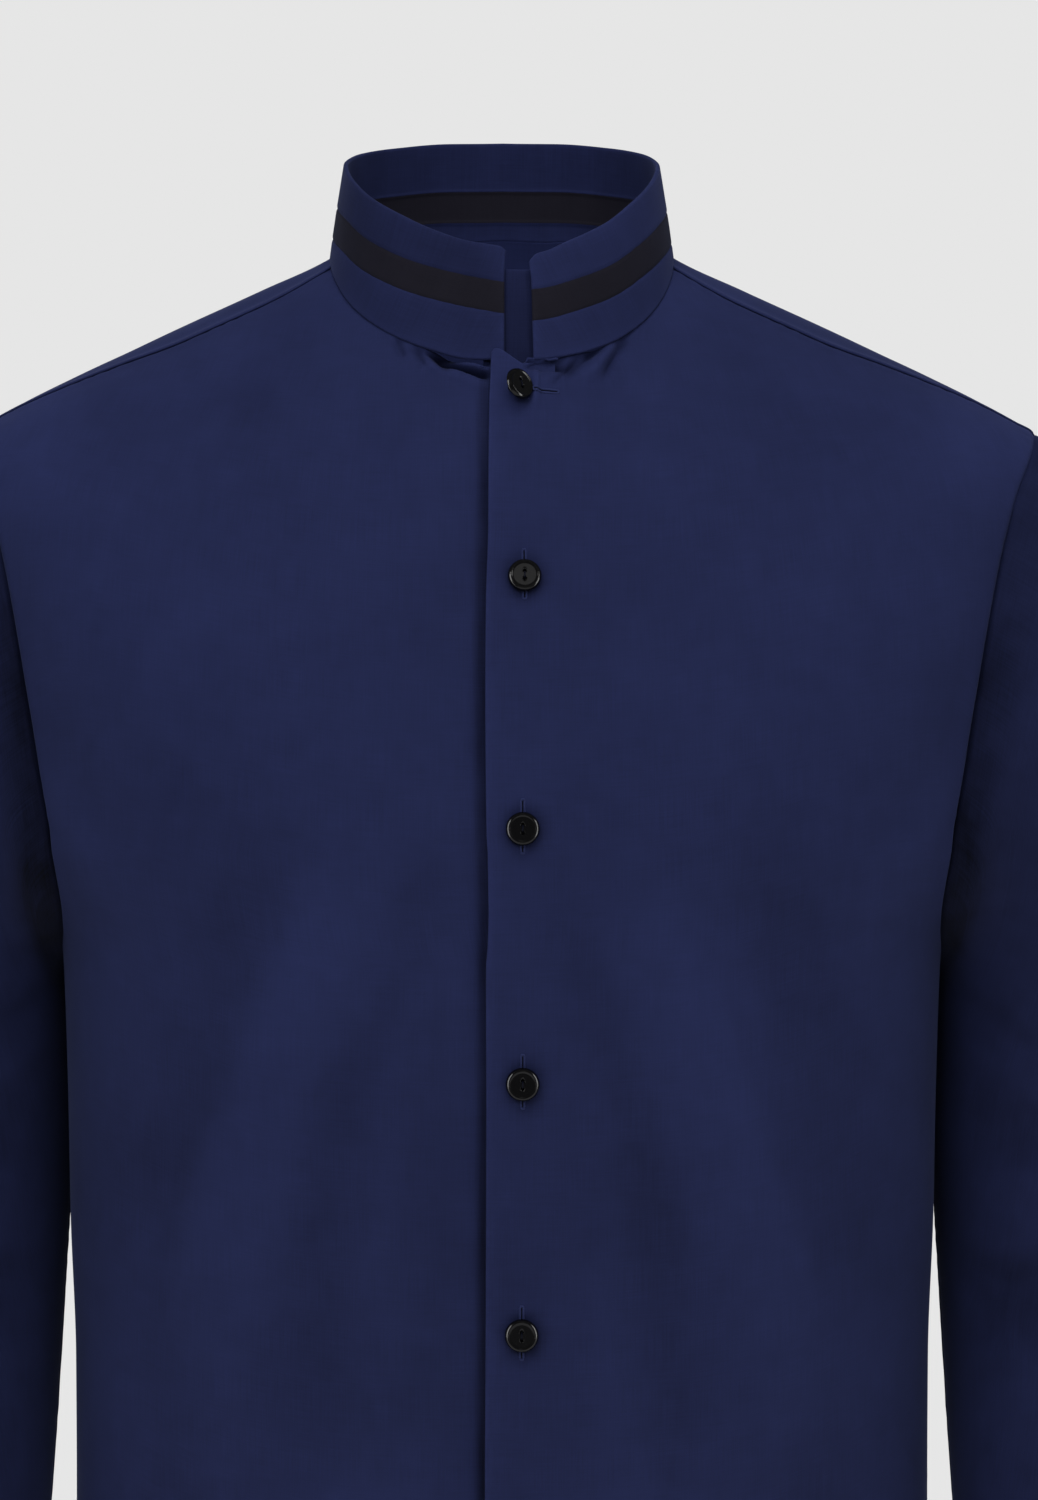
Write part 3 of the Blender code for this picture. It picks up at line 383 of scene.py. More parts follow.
# Finer creases, which the solids leave out.
RIGHT_FRONT_CREASES = (
    # deep pleats under the band, running in below the other front's corner
    (-29, -42.5, -7, -45.8, 1.4, -4.6),
    (-26, -45, -6, -51.4, 1.6, -5),
    (-22, -44, -6.5, -48.6, 1.2, 2),
    (-25, -49, -8, -56, 2.4, 1.2),
    # short pulls down from the collar seam
    (-30, -42.5, -21.5, -50, 1.7, -2.6),
    (-36, -40.5, -31, -47.5, 1.8, -2.2),
    (-44, -37, -40, -44, 2.2, -1.8),
    (-32, -44, -27, -50, 1.8, 1.2),
    # drags from the side of the neck
    (-71, -22, -106, -80, 10, -1, 3),
    (-96, -60, -166, -70, 8, -0.8),
    (-27, -80, -25, -135, 10, 0.6),
    (-150, -178, -112, -138, 16, 0.8),
    (-150, -205, -122, -219, 8, -0.8),
    # long soft drapes from the chest
    (-92, -268, -140, -405, 12, -1.4, 6),
    (-134, -370, -142, -470, 10, -1),
    (-30, -262, -66, -350, 10, -1.4, -3),
    (-65, -325, -80, -500, 12, -1.6, 2),
    (-84, -300, -100, -400, 9, 1),
    (-44, -350, -50, -480, 10, 1),
    (-110, -420, -116, -520, 10, 1),
    (-30, -560, -34, -700, 10, -0.9),
    (-100, -600, -108, -710, 10, 1),
    # beside the armhole
    (-185, -180, -160, -235, 10, -1, 3),
    (-182, -215, -150, -275, 9, 0.9, 3),
)
LEFT_FRONT_CREASES = (
    # pulls from the collar seam towards the top button
    (11.5, -48.6, 25, -49.4, 1.4, -2.6),
    (10, -49, 27, -47.8, 3, -2),
    (39.4, -41, 26.3, -53.7, 1.9, -3.2, 1),
    (52.1, -35.5, 42, -52, 2.2, -2.6, 1),
    (31, -45, 21.5, -56, 1.6, -2.2),
    (46, -39, 34, -54, 2.2, 1.4),
    (35, -43, 24, -54.5, 1.4, 1.2),
    (16, -56, 40, -50, 3, 0.6),
    # the edge of the top buttonhole, pulled up over the button
    (13.7, -49, 13.7, -65, 1.3, 2.2),
    # drags from the side of the neck
    (85, -28, 108, -72, 10, -1, -3),
    (103, -66, 160, -71, 8, -0.8),
    (56, -50, 70, -110, 10, 0.7),
    (120, -150, 150, -190, 14, 0.6),
    # long soft drapes from the chest
    (23, -268, 66, -404, 10, -1.4, -3),
    (62, -385, 72, -500, 12, -1.6),
    (82, -288, 138, -446, 8, -1.5, -3),
    (118, -268, 144, -352, 9, -1.2, -4),
    (66, -275, 108, -400, 8, 0.9, -3),
    (40, -400, 46, -500, 10, 0.8),
    (108, -420, 114, -520, 10, 1),
    (30, -560, 34, -700, 10, -0.9),
    (102, -600, 110, -710, 10, 1),
    # beside the armhole
    (185, -180, 160, -235, 10, -1, -3),
    (182, -215, 150, -275, 9, 0.9, -3),
)
BACK_CREASES = (
    (-170, -200, -125, -300, 11, 1.2, 4),
    (-165, -240, -130, -350, 10, -1, 4),
    (172, -205, 124, -310, 11, 1.2, -4),
    (166, -245, 132, -345, 10, -1, -4),
    (-20, -420, -28, -640, 10, 1),
    (26, -400, 32, -600, 10, 1),
    (-120, -440, -126, -660, 12, 1.2),
    (124, -420, 130, -640, 12, 1.2),
    (-70, -160, -60, -320, 12, -0.8),
    (74, -150, 64, -300, 12, -0.8),
)
SLEEVE_CREASES = (
    (20, -300, 95, -345, 6, -1.2, 4),
    (25, -325, 90, -362, 6, 1, 4),
    (30, -388, 110, -378, 6, 1.2),
    (35, -420, 120, -424, 6, -1.3),
    (30, -455, 115, -462, 6, 1.2),
    (45, -500, 130, -520, 8, -1),
    (80, -200, 120, -290, 10, -1),
    (260, -180, 235, -300, 10, -1.2),
    (290, -300, 240, -360, 9, 1.2),
    (300, -390, 235, -400, 8, -1.2),
    (310, -470, 240, -455, 8, 1.2),
    (150, -600, 250, -570, 8, -1.2),
    (60, -590, 140, -555, 8, 1),
    (320, -560, 260, -590, 8, -1),
)
YOKE_CREASES = (
    (-110, 20, -80, 60, 12, 0.6),
    (115, 24, 82, 62, 12, 0.6),
    (-160, 10, -130, 55, 10, -0.6),
    (164, 12, 128, 56, 10, -0.6),
)


def crease_height(across: Array, up: Array, creases: Sequence[Row], square: bool = True) -> Array:
    """How far out the cloth stands where creases cross it.

    Each is a bell curve of the distance from its bowed middle line, faded at both ends.

    Args:
        across: Places across the piece, in metres or degrees.
        up: Heights of the same places.
        creases: Rows of numbers, as Crease names them.
        square: Whether across is a length, so that the distance is taken square to the line. On a
            sleeve it is an angle, and the distance is taken straight up.

    Returns:
        Heights above the plain surface.
    """
    total = np.zeros_like(across)
    across = across / MM if square else across
    none, full = (-0.25, 0.25) if square else (-0.2, 0.3)
    for crease in (Crease(*row) for row in creases):
        run_across, run_up = crease.across1 - crease.across0, crease.up1 - crease.up0
        off_across, off_up = across - crease.across0, up / MM - crease.up0
        if square:
            length = math.hypot(run_across, run_up)
            along = (off_across * run_across + off_up * run_up) / length**2
            aside = (off_across * run_up - off_up * run_across) / length
        else:
            along = off_across / run_across
            aside = off_up - run_up * along
        aside = aside - crease.bow * np.sin(math.pi * np.clip(along, 0, 1))
        ends = smoothstep(along, none, full) * smoothstep(1 - along, none, full)
        total += crease.height * ends * np.exp(-((aside / crease.width) ** 2))
    return total * MM


# --- the form of the body


@dataclass
class ShirtForm:
    """The smooth form that every panel lies on, from the shirt's driving dimensions."""

    chest_z: float = -0.240
    armpit_z: float = -0.290
    chest_rows: int = 13
    yoke_z: float = -0.098
    front_hem_z: float = -0.745
    back_hem_z: float = -0.757
    side_hem_z: float = -0.693
    ring_power: float = 2.6
    front_power: float = 1.65
    back_power: float = 2.0
    neck_half_width: float = 0.0715
    neck_front: float = 0.0690
    neck_front_z: float = -0.0454
    neck_swell_left: float = 0.035
    neck_swell_right: float = 0.010
    neck_back: float = 0.0660
    neck_point_angle: float = math.radians(85)
    neck_point_share: float = 0.42
    collar_top_half_width: float = 0.0654
    collar_top_depth: float = 0.0620
    collar_left_end_x: float = 0.0127
    collar_right_end_x: float = 0.0012
    stripe_width: float = 0.0132
    underlap_edge_x: float = 0.0220
    lap_lift: float = 0.0010
    lap_over: Span = (0.016, 0.045)
    lap_under: Span = (-0.036, -0.012)
    half_width = BODY_RINGS.curve("half_width")
    front_depth = BODY_RINGS.curve("front_depth")
    back_depth = BODY_RINGS.curve("back_depth")
    armhole_x = ARMHOLE_EDGE.curve("x")
    closure_x = CLOSURE_EDGE.curve("x")
    top_y = SHOULDER_SLICES.curve("top_y")
    top_z = SHOULDER_SLICES.curve("top_z")
    seam_drop = SHOULDER_SLICES.curve("seam_drop")
    shoulder_x = float(SHOULDER_SLICES["x"][-1])

    def __post_init__(self) -> None:
        """Finds where the armhole meets the chest."""
        self.chest_edge_x = float(self.armhole_x(self.chest_z))
        self.chest_share = self.chest_edge_x / float(self.half_width(self.chest_z))
        self.chest_angle = math.asin(self.chest_share ** (self.ring_power / 2))

    def ring_depth(self, z: Array | float, face: int) -> Array:
        """How far a level ring reaches from its middle, at the front (face -1) or back (face 1)."""
        return self.front_depth(z) if face < 0 else self.back_depth(z)

    def edge_angle(self, z: Array | float, face: int) -> Array:
        """The angle round a level ring where a panel ends.

        It is the side seam's below the armpit. Between the armpit and the chest it follows a
        quarter of an ellipse, which is the foot of the armhole.

        Args:
            z: Heights at or below the chest.
            face: -1 at the front, 1 at the back.

        Returns:
            Angles from the middle of that face.
        """
        share = np.clip((self.chest_z - z) / (self.chest_z - self.armpit_z), 0, 1)
        power = 2 / self.ring_power
        at_chest = self.ring_depth(self.chest_z, face) * math.cos(self.chest_angle) ** power
        opening = at_chest * np.sqrt(1 - share**2) / self.ring_depth(z, face)
        return np.arccos(np.clip(opening, 0, 1) ** (self.ring_power / 2))

    def lower_point(self, u: Array, z: Array, face: int) -> Array:
        """Points of the body below the chest: a superellipse ring at each height.

        Args:
            u: Shares of the way from the middle round to the panel's edge.
            z: Heights.
            face: -1 at the front, 1 at the back.

        Returns:
            Points.
        """
        power = 2 / self.ring_power
        share = np.clip(np.abs(u) * self.chest_share, 0, 1)
        column = np.arcsin(share ** (self.ring_power / 2))
        angle = column / self.chest_angle * self.edge_angle(z, face)
        x = np.sign(u) * self.half_width(z) * np.sin(angle) ** power
        y = face * self.ring_depth(z, face) * np.cos(np.clip(angle, 0, math.pi / 2)) ** power
        return np.stack([x, y, z + 0 * x], axis=-1)

    def slice_shape(self, u: Array, back: Array) -> tuple[Array, Array, Array, Array]:
        """The shape of the slice over the shoulder at share u of the way out to the armhole.

        Args:
            u: Shares, -1 to 1.
            back: Whether each place is behind the top of the slice.

        Returns:
            Its top's y, its rise above the chest, its reach forwards or back, and its power.
        """
        x = np.abs(u) * self.shoulder_x
        top_y = self.top_y(x)
        rise = self.top_z(x) - self.chest_z
        chest = np.clip(np.abs(u) * self.chest_share, 0, 1)
        wide = (1 - chest**self.ring_power) ** (1 / self.ring_power)
        behind = self.back_depth(self.chest_z) * wide - top_y
        before = self.front_depth(self.chest_z) * wide + top_y
        power = np.where(back, self.back_power, self.front_power + 0.45 * np.abs(u) ** 3)
        return top_y, rise, np.where(back, behind, before), power

    def upper_point(self, u: Array, a: Array) -> Array:
        """Points of the body above the chest: an arch of two quarter superellipses in each slice.

        Args:
            u: Shares of the way from the middle out to the armhole.
            a: Angles over the slice, from -90 degrees at the front of the chest to 90 behind.

        Returns:
            Points.
        """
        back = a > 0
        top_y, rise, reach, power = self.slice_shape(u, back)
        z = self.chest_z + rise * np.clip(np.cos(a), 0, 1) ** (2 / power)
        y = top_y + np.where(back, 1, -1) * reach * np.abs(np.sin(a)) ** (2 / power)
        return np.stack([u * self.armhole_x(z), y, z], axis=-1)

    def shoulder_place(self, x: Array, y: Array) -> tuple[Array, Array]:
        """The (u, a) of the upper body's point over a place in plan, found by repeated guesses.

        Args:
            x: Places across.
            y: Places fore and aft.

        Returns:
            u and a.
        """
        z = np.zeros_like(x)
        for _ in range(30):
            u = x / self.armhole_x(z)
            back = y > self.top_y(np.abs(u) * self.shoulder_x)
            top_y, _, reach, power = self.slice_shape(u, back)
            share = np.clip(np.abs(y - top_y) / reach, 0, 1)
            a = np.where(back, 1, -1) * np.arcsin(share ** (power / 2))
            z = 0.5 * z + 0.5 * self.upper_point(u, a)[..., 2]
        return u, a

    def level_angle(self, u: Array, z: float, back: bool) -> Array:
        """The angle at which each slice passes a level.

        Args:
            u: The slices.
            z: The level.
            back: Whether it is the slice's back half.

        Returns:
            Angles a.
        """
        _, rise, _, power = self.slice_shape(u, np.full_like(u, back, bool))
        share = np.clip((z - self.chest_z) / rise, 0, 1)
        return (1 if back else -1) * np.arccos(share ** (power / 2))

    def neck_seam(self, turn: Array) -> tuple[Array, Array]:
        """The (u, a) of the collar seam: an oval in plan that swings out beside the front.

        Args:
            turn: Angles round from the front.

        Returns:
            u and a.
        """
        deep = np.where(np.cos(turn) > 0, self.neck_front, self.neck_back)
        most = np.where(np.sin(turn) > 0, self.neck_swell_left, self.neck_swell_right)
        share = np.clip(from_front(turn) / self.neck_point_angle, 0, 1)
        swell = 1 + most * np.sin(math.pi * share)
        x, y = self.neck_half_width * np.sin(turn), -deep * np.cos(turn)
        return self.shoulder_place(x * swell, y * swell)

    def shoulder_seam(self, u: Array) -> tuple[Array, Array]:
        """The (u, a) of the seam along the shoulder, in front of its ridge.

        Args:
            u: Shares of the way out to the armhole.

        Returns:
            u and a.
        """
        _, rise, _, power = self.slice_shape(u, np.zeros_like(u, bool))
        share = 1 - self.seam_drop(np.abs(u) * self.shoulder_x) / rise
        return u, -np.arccos(np.clip(share, 0, 1) ** (power / 2))

    def lap(self, x: Array, side: int) -> Array:
        """How far the cloth stands out or in beside the closure, where the two fronts pass.

        Args:
            x: Places across.
            side: 1 for the wearer's left, which lies on top, and -1 for the right.

        Returns:
            Heights.
        """
        over = 1 - smoothstep(x, *self.lap_over)
        under = smoothstep(x, *self.lap_under)
        return self.lap_lift * (over if side > 0 else -under)

    def front_edge(self, z: Array | float, side: int) -> Array:
        """x of a front's own edge at the closure."""
        return self.closure_x(z) if side > 0 else self.underlap_edge_x + 0 * z

    def collar_top(self, turn: Array) -> Array:
        """Points along the top edge of the band, an oval whose height follows the rim's table."""
        x, y = self.collar_top_half_width * np.sin(turn), -self.collar_top_depth * np.cos(turn)
        return np.stack([x, y, self.rim_value(turn, "z")], axis=-1)

    def rim_value(self, turn: Array, kind: str) -> Array:
        """A column of the rim's table, from the wearer's own side.

        Args:
            turn: Angles round from the front.
            kind: "z" or "strip".

        Returns:
            Values.
        """
        degrees = np.degrees(from_front(turn))
        left, right = (COLLAR_RIM.curve(f"{side}_{kind}")(degrees) for side in ("left", "right"))
        return np.where((turn > 0) & (turn < math.pi), left, right)

    def collar_base(self, turn: Array, lifted: bool) -> Array:
        """Points along the collar seam, moved out or in beside the closure with the fronts.

        Args:
            turn: Angles round from the front.
            lifted: Whether to follow the fronts' own lift.

        Returns:
            Points.
        """
        u, a = self.neck_seam(turn)
        seam = self.upper_point(u, a)
        if lifted:
            step = 1e-4
            across = self.upper_point(u + step, a) - self.upper_point(u - step, a)
            along = self.upper_point(u, a + step) - self.upper_point(u, a - step)
            seam = seam + unit(np.cross(across, along)) * self.collar_lift(turn)[:, None]
        return seam

    def collar_lift(self, turn: Array) -> Array:
        """How far out the band stands beside the closure.

        Args:
            turn: Angles round from the front. Those past a whole turn are the right end's.

        Returns:
            Heights.
        """
        x = self.neck_half_width * np.sin(turn)
        left, right = self.lap(x, 1), self.lap(x, -1)
        lift = np.where(np.mod(turn, TAU) < math.pi, left, right)
        lift = np.where(turn > TAU, right, lift)
        return np.where(np.cos(turn) > 0, lift, 0)

    def armhole(self, side: int, count: int) -> Array:
        """Points round an armhole, from the armpit up the front, over and down the back.

        Args:
            side: 1 for the wearer's left, -1 for the right.
            count: How many, spaced evenly. The last is the first again.

        Returns:
            Points.
        """
        fine = np.linspace(0, 1, 200)
        sweep = self.chest_z - (self.chest_z - self.armpit_z) * np.cos(fine * math.pi / 2)
        ones = np.full_like(fine, side)
        front = self.lower_point(ones, sweep, -1)
        over = self.upper_point(ones, -np.cos(fine * math.pi) * math.pi / 2)
        back = self.lower_point(ones, sweep[::-1], 1)
        path = np.vstack([front, over[1:-1], back])
        run = run_along(path)
        return points_at(np.linspace(0, run[-1], count), run, path)


# --- surfaces and walls


class Side(Enum):
    """The four sides of a grid: its axis, and whether it is the first or last line of it."""

    FIRST_ROW = (0, 0)
    LAST_ROW = (0, -1)
    FIRST_COLUMN = (1, 0)
    LAST_COLUMN = (1, -1)


class Grain(Enum):
    """Which lengths the threads' coordinates are measured by."""

    UPRIGHT = "upright"
    ALONG = "along"


@dataclass
class MeshData:
    """Points, faces and what the materials read, before Blender has them."""

    points: Array
    faces: list[Array]
    threads: Array
    edge: Array | float = 0.0
    # painted shade below 0 and painted light above 0, for each point
    fold_and_painted_shade: Array | float = 0.0

    def __post_init__(self) -> None:
        """Gives each point its own nearness to an edge, and its own painted shade and light."""
        self.edge = self.edge * np.ones(len(self.points))
        self.fold_and_painted_shade = self.fold_and_painted_shade * np.ones(len(self.points))


@dataclass
class WallCut:
    """Where a wall's faces stand from the middle of the cloth, and which of its sides are turned."""

    outer: float = CLOTH_FACE
    inner: float = -0.3 * MM
    turned: dict[Side, Array | bool] = field(default_factory=dict)


@dataclass
class Surface:
    """The middle of a piece of cloth, as a grid of points with rows and columns."""

    points: Array
    outward: int
    edge_fade: float = 2.5 * MM
    # deep_fold is the relief in millimetres at which the folds' painted shade and painted light near
    # full strength
    deep_fold: float = 2.0
    relief: Array = field(init=False)
    # shade is painted shade where it is below 0 and a painted highlight where it is above 0
    shade: Array = field(init=False)

    def __post_init__(self) -> None:
        """Starts flat, with no folds anywhere and no painted shade or painted highlight anywhere."""
        self.relief = np.zeros(self.points.shape[:2])
        self.shade = np.zeros(self.points.shape[:2])

    def normals(self) -> Array:
        """Unit normals that point out of the shirt: the cross product of the grid's own lines."""
        across, along = np.gradient(self.points, axis=1), np.gradient(self.points, axis=0)
        return unit(self.outward * np.cross(across, along))

    def run_from(self, side: Side) -> Array:
        """How far each point is from a side, along the grid's lines.

        Args:
            side: The side.

        Returns:
            Distances, a value for each point.
        """
        axis, end = side.value
        steps = np.linalg.norm(np.diff(self.points, axis=axis), axis=-1)
        start = np.zeros_like(np.take(steps, [0], axis=axis))
        run = np.concatenate([start, np.cumsum(steps, axis=axis)], axis=axis)
        return run if end == 0 else np.take(run, [-1], axis=axis) - run

    def lift(self, height: Array) -> None:
        """Moves every point out along its normal by a height of its own."""
        self.points = self.points + self.normals() * height[..., None]

    def fold_and_painted_shade(self, height: Array) -> None:
        """Lifts the cloth into folds, and keeps how high each point stands, in millimetres, for the
        folds' painted shade and light.
        """
        self.relief = self.relief + height / MM
        self.lift(height)

    def beside(self, side: Side, distance: float, width: float) -> Array:
        """A bell curve across a line that runs at a distance beside a side."""
        return np.exp(-(((self.run_from(side) - distance) / width) ** 2))

    def spread(self, side: Side, along: Array | float) -> Array:
        """A value for each place along a side, as a grid with one row or one column."""
        line = along * np.ones(self.points.shape[1 - side.value[0]])
        return line[None, :] if side.value[0] == 0 else line[:, None]

    def sink(
        self, side: Side, depth: float, width: float, weight: Array | float = 1.0, at: float = 0.0
    ) -> None:
        """Presses the cloth in along a seam, or along a row of stitches at a distance from a side."""
        self.lift(-depth * self.beside(side, at, width) * self.spread(side, weight))

    def stitch_line(self, side: Side, distance: float, depth: float = 0.22 * MM) -> None:
        """Presses the cloth in along a row of stitches beside a side."""
        self.sink(side, depth, 0.7 * MM, at=distance)

    def pucker(
        self, side: Side, height: float, pitch: float, fade: float, weight: Array | float = 1.0
    ) -> None:
        """Ripples the cloth beside a seam that draws it in.

        The ripple is a sine of the way along the seam, whose pitch wanders, faded away from it.

        Args:
            side: The seam's side of the grid.
            height: How high the ripples are.
            pitch: How far apart they are.
            fade: How far from the seam they reach.
            weight: A share for each place along the side.
        """
        axis, end = side.value
        run = run_along(np.take(self.points, end, axis=axis))
        phase = TAU * run / pitch + 1.9 * np.sin(TAU * run / (5.3 * pitch))
        swell = 0.6 + 0.4 * np.sin(TAU * run / (8.7 * pitch) + 1.0)
        near = self.beside(side, 0, fade) * smoothstep(self.run_from(side), 0, 0.3 * fade)
        self.lift(height * self.spread(side, np.sin(phase) * swell * weight) * near)

    def reach(self, side: Side, distance: float, weight: Array | float = 1.0) -> None:
        """Carries a side's own line on past the seam, so that two pieces meet without a chink.

        Args:
            side: The side.
            distance: How far.
            weight: A share for each place along the side.
        """
        axis, end = side.value
        view = self.points if axis == 0 else self.points.transpose(1, 0, 2)
        inner = 1 if end == 0 else -2
        way = unit(view[end] - view[inner])
        view[end] += way * (distance * self.spread(side, weight)).reshape(-1, 1)

    def threads(self, grain: Grain, anchor: int) -> Array:
        """Where each point is on the cloth before it was sewn, in metres along weft and warp.

        Args:
            grain: UPRIGHT measures the weft level and the warp in the upright slice, and ALONG
                measures both along the grid's own lines.
            anchor: The column that the weft is measured from.

        Returns:
            Two numbers for each point.
        """
        across, along = np.diff(self.points, axis=1), np.diff(self.points, axis=0)
        if grain is Grain.UPRIGHT:
            across, along = across[..., :2], along[..., 1:]
        weft = np.zeros(self.points.shape[:2])
        warp = np.zeros(self.points.shape[:2])
        weft[:, 1:] = np.cumsum(np.linalg.norm(across, axis=-1), axis=1)
        warp[1:] = np.cumsum(np.linalg.norm(along, axis=-1), axis=0)
        return np.stack([weft - weft[:, anchor : anchor + 1], warp], axis=-1)

    def line(self, side: Side, distance: float, stand: float) -> tuple[Array, Array]:
        """A line on the outer face, beside a side.

        Args:
            side: The side.
            distance: How far from it the line runs.
            stand: How far out from the middle of the cloth it lies.

        Returns:
            Its points and the cloth's normals there.
        """
        axis, end = side.value
        normals = self.normals()
        parts = (self.run_from(side), self.points + normals * stand, normals)
        step = -1 if end == -1 else 1
        run, points, normals = (np.moveaxis(part, axis, 0)[::step] for part in parts)
        after = np.clip((run < distance).sum(axis=0), 1, len(run) - 1)
        pick = np.arange(run.shape[1])
        low, high = run[after - 1, pick], run[after, pick]
        share = ((distance - low) / np.maximum(high - low, 1e-12))[:, None]
        found = points[after - 1, pick] * (1 - share) + points[after, pick] * share
        out = normals[after - 1, pick] * (1 - share) + normals[after, pick] * share
        return found, unit(out)

    def area(self) -> float:
        """The area of the grid: half the cross product of each cell's diagonals.

        Returns:
            Square metres.
        """
        rising = self.points[1:, 1:] - self.points[:-1, :-1]
        falling = self.points[1:, :-1] - self.points[:-1, 1:]
        crossed = np.cross(rising, falling)
        return float(np.linalg.norm(crossed, axis=-1).sum() / 2)

    def wall(self, cut: WallCut, threads: Array) -> MeshData:
        """Thickens the grid to a closed wall whose turned sides are rounded over.

        Near a turned side the half thickness follows a quarter circle of the distance from it, so
        that the two faces meet in a round edge. The other sides are closed by a flat rim.

        Args:
            cut: The wall's two faces and its turned sides.
            threads: The threads' coordinates.

        Returns:
            The wall.
        """
        rows, columns = self.points.shape[:2]
        middle, half = (cut.outer + cut.inner) / 2, (cut.outer - cut.inner) / 2
        swell = np.ones((rows, columns))
        nearest = np.full((rows, columns), 1.0)
        closed = np.zeros((rows, columns), bool)
        for side, places in cut.turned.items():
            axis, end = side.value
            here = self.spread(side, places) > 0
            away = np.where(here, self.run_from(side), 1.0)
            nearest = np.minimum(nearest, away)
            swell = np.minimum(swell, np.sqrt(1 - (1 - np.clip(away / half, 0, 1)) ** 2))
            closed[(end, slice(None)) if axis == 0 else (slice(None), end)] |= here.ravel()
        normals = self.normals()
        faces_apart = (half * swell)[..., None]
        out = self.points + normals * (middle + faces_apart)
        back = self.points + normals * (middle - faces_apart)
        index = np.arange(rows * columns).reshape(rows, columns)
        under = np.where(closed, index, index + rows * columns)
        way = 1 if self.outward > 0 else -1
        top = grid_quads(index)[:, ::way]
        bottom = grid_quads(under)[:, ::-way]
        rims = []
        for side in Side:
            axis, end = side.value
            a, b = (x[end] if axis == 0 else x[:, end] for x in (index, under))
            rim = np.stack([a[1:], a[:-1], b[:-1], b[1:]], axis=-1)
            first = (end == 0) == (axis == 0)
            rims.append(rim[:, :: (way if first else -way)])
        return MeshData(
            np.vstack([out.reshape(-1, 3), back.reshape(-1, 3)]),
            [top, bottom, *rims],
            np.vstack([threads.reshape(-1, 2)] * 2),
            np.tile(np.exp(-nearest.ravel() / self.edge_fade), 2),
            # painted shade and painted light: darker in the folds' troughs, lighter on their ridges,
            # plus the surface's own painted shade and highlights
            np.tile(np.tanh(self.relief.ravel() / self.deep_fold) + self.shade.ravel(), 2),
        )


def grid_quads(index: Array) -> Array:
    """The four corners of each cell of a grid of numbered points."""
    quads = [index[:-1, :-1], index[:-1, 1:], index[1:, 1:], index[1:, :-1]]
    return np.stack(quads, axis=-1).reshape(-1, 4)


def without_repeats(block: Array) -> list[Array]:
    """Faces in which no corner comes twice.

    Args:
        block: Faces with three or four corners.

    Returns:
        The whole faces, and the triangles left of quads that had a corner twice.
    """
    same = block == np.roll(block, -1, axis=1)
    repeats = same.sum(axis=1)
    whole = block[repeats == 0]
    if block.shape[1] == 3:
        return [whole]
    once = repeats == 1
    return [whole, block[once][~same[once]].reshape(-1, 3)]


def join(parts: Sequence[MeshData]) -> MeshData:
    """Several meshes as one.

    Args:
        parts: The meshes.

    Returns:
        One mesh with their points one after another.
    """
    starts = np.cumsum([0] + [len(part.points) for part in parts[:-1]])
    return MeshData(
        np.vstack([part.points for part in parts]),
        [face + start for part, start in zip(parts, starts) for face in part.faces],
        np.vstack([part.threads for part in parts]),
        np.concatenate([part.edge for part in parts]),
        np.concatenate([part.fold_and_painted_shade for part in parts]),
    )


def tube(path: Array, up: Array, wide: Array | float, high: Array | float, sides: int) -> MeshData:
    """A closed tube round a path: an ellipse square to it at each point, and a fan at each end.

    Args:
        path: Points along the middle.
        up: The direction of the ellipse's height, for each point or for all of them.
        wide: Its half width, or one for each point.
        high: Its half height, or one for each point.
        sides: How many sides it has.

    Returns:
        The tube.
    """
    count = len(path)
    ahead = unit(np.gradient(path, axis=0))
    aside = unit(np.cross(ahead, up))
    up = np.cross(aside, ahead)
    angle = np.arange(sides) / sides * TAU
    across = (wide * np.ones(count))[:, None] * np.cos(angle)
    rise = (high * np.ones(count))[:, None] * np.sin(angle)
    ring = across[..., None] * aside[:, None] + rise[..., None] * up[:, None]
    points = (path[:, None] + ring).reshape(-1, 3)
    index = np.arange(count * sides).reshape(count, sides)
    index = np.hstack([index, index[:, :1]])
    first, last = len(points), len(points) + 1
    fan = np.stack([index[0, :-1], index[0, 1:], np.full(sides, first)], axis=-1)
    tail = np.stack([index[-1, 1:], index[-1, :-1], np.full(sides, last)], axis=-1)
    run = run_along(path)
    around = np.tile(angle, count) * float(np.mean(wide))
    threads = np.stack([around, np.repeat(run, sides)], axis=-1)
    return MeshData(
        np.vstack([points, path[0], path[-1]]),
        [grid_quads(index)[:, ::-1], fan, tail],
        np.vstack([threads, [0, 0], [0, run[-1]]]),
    )


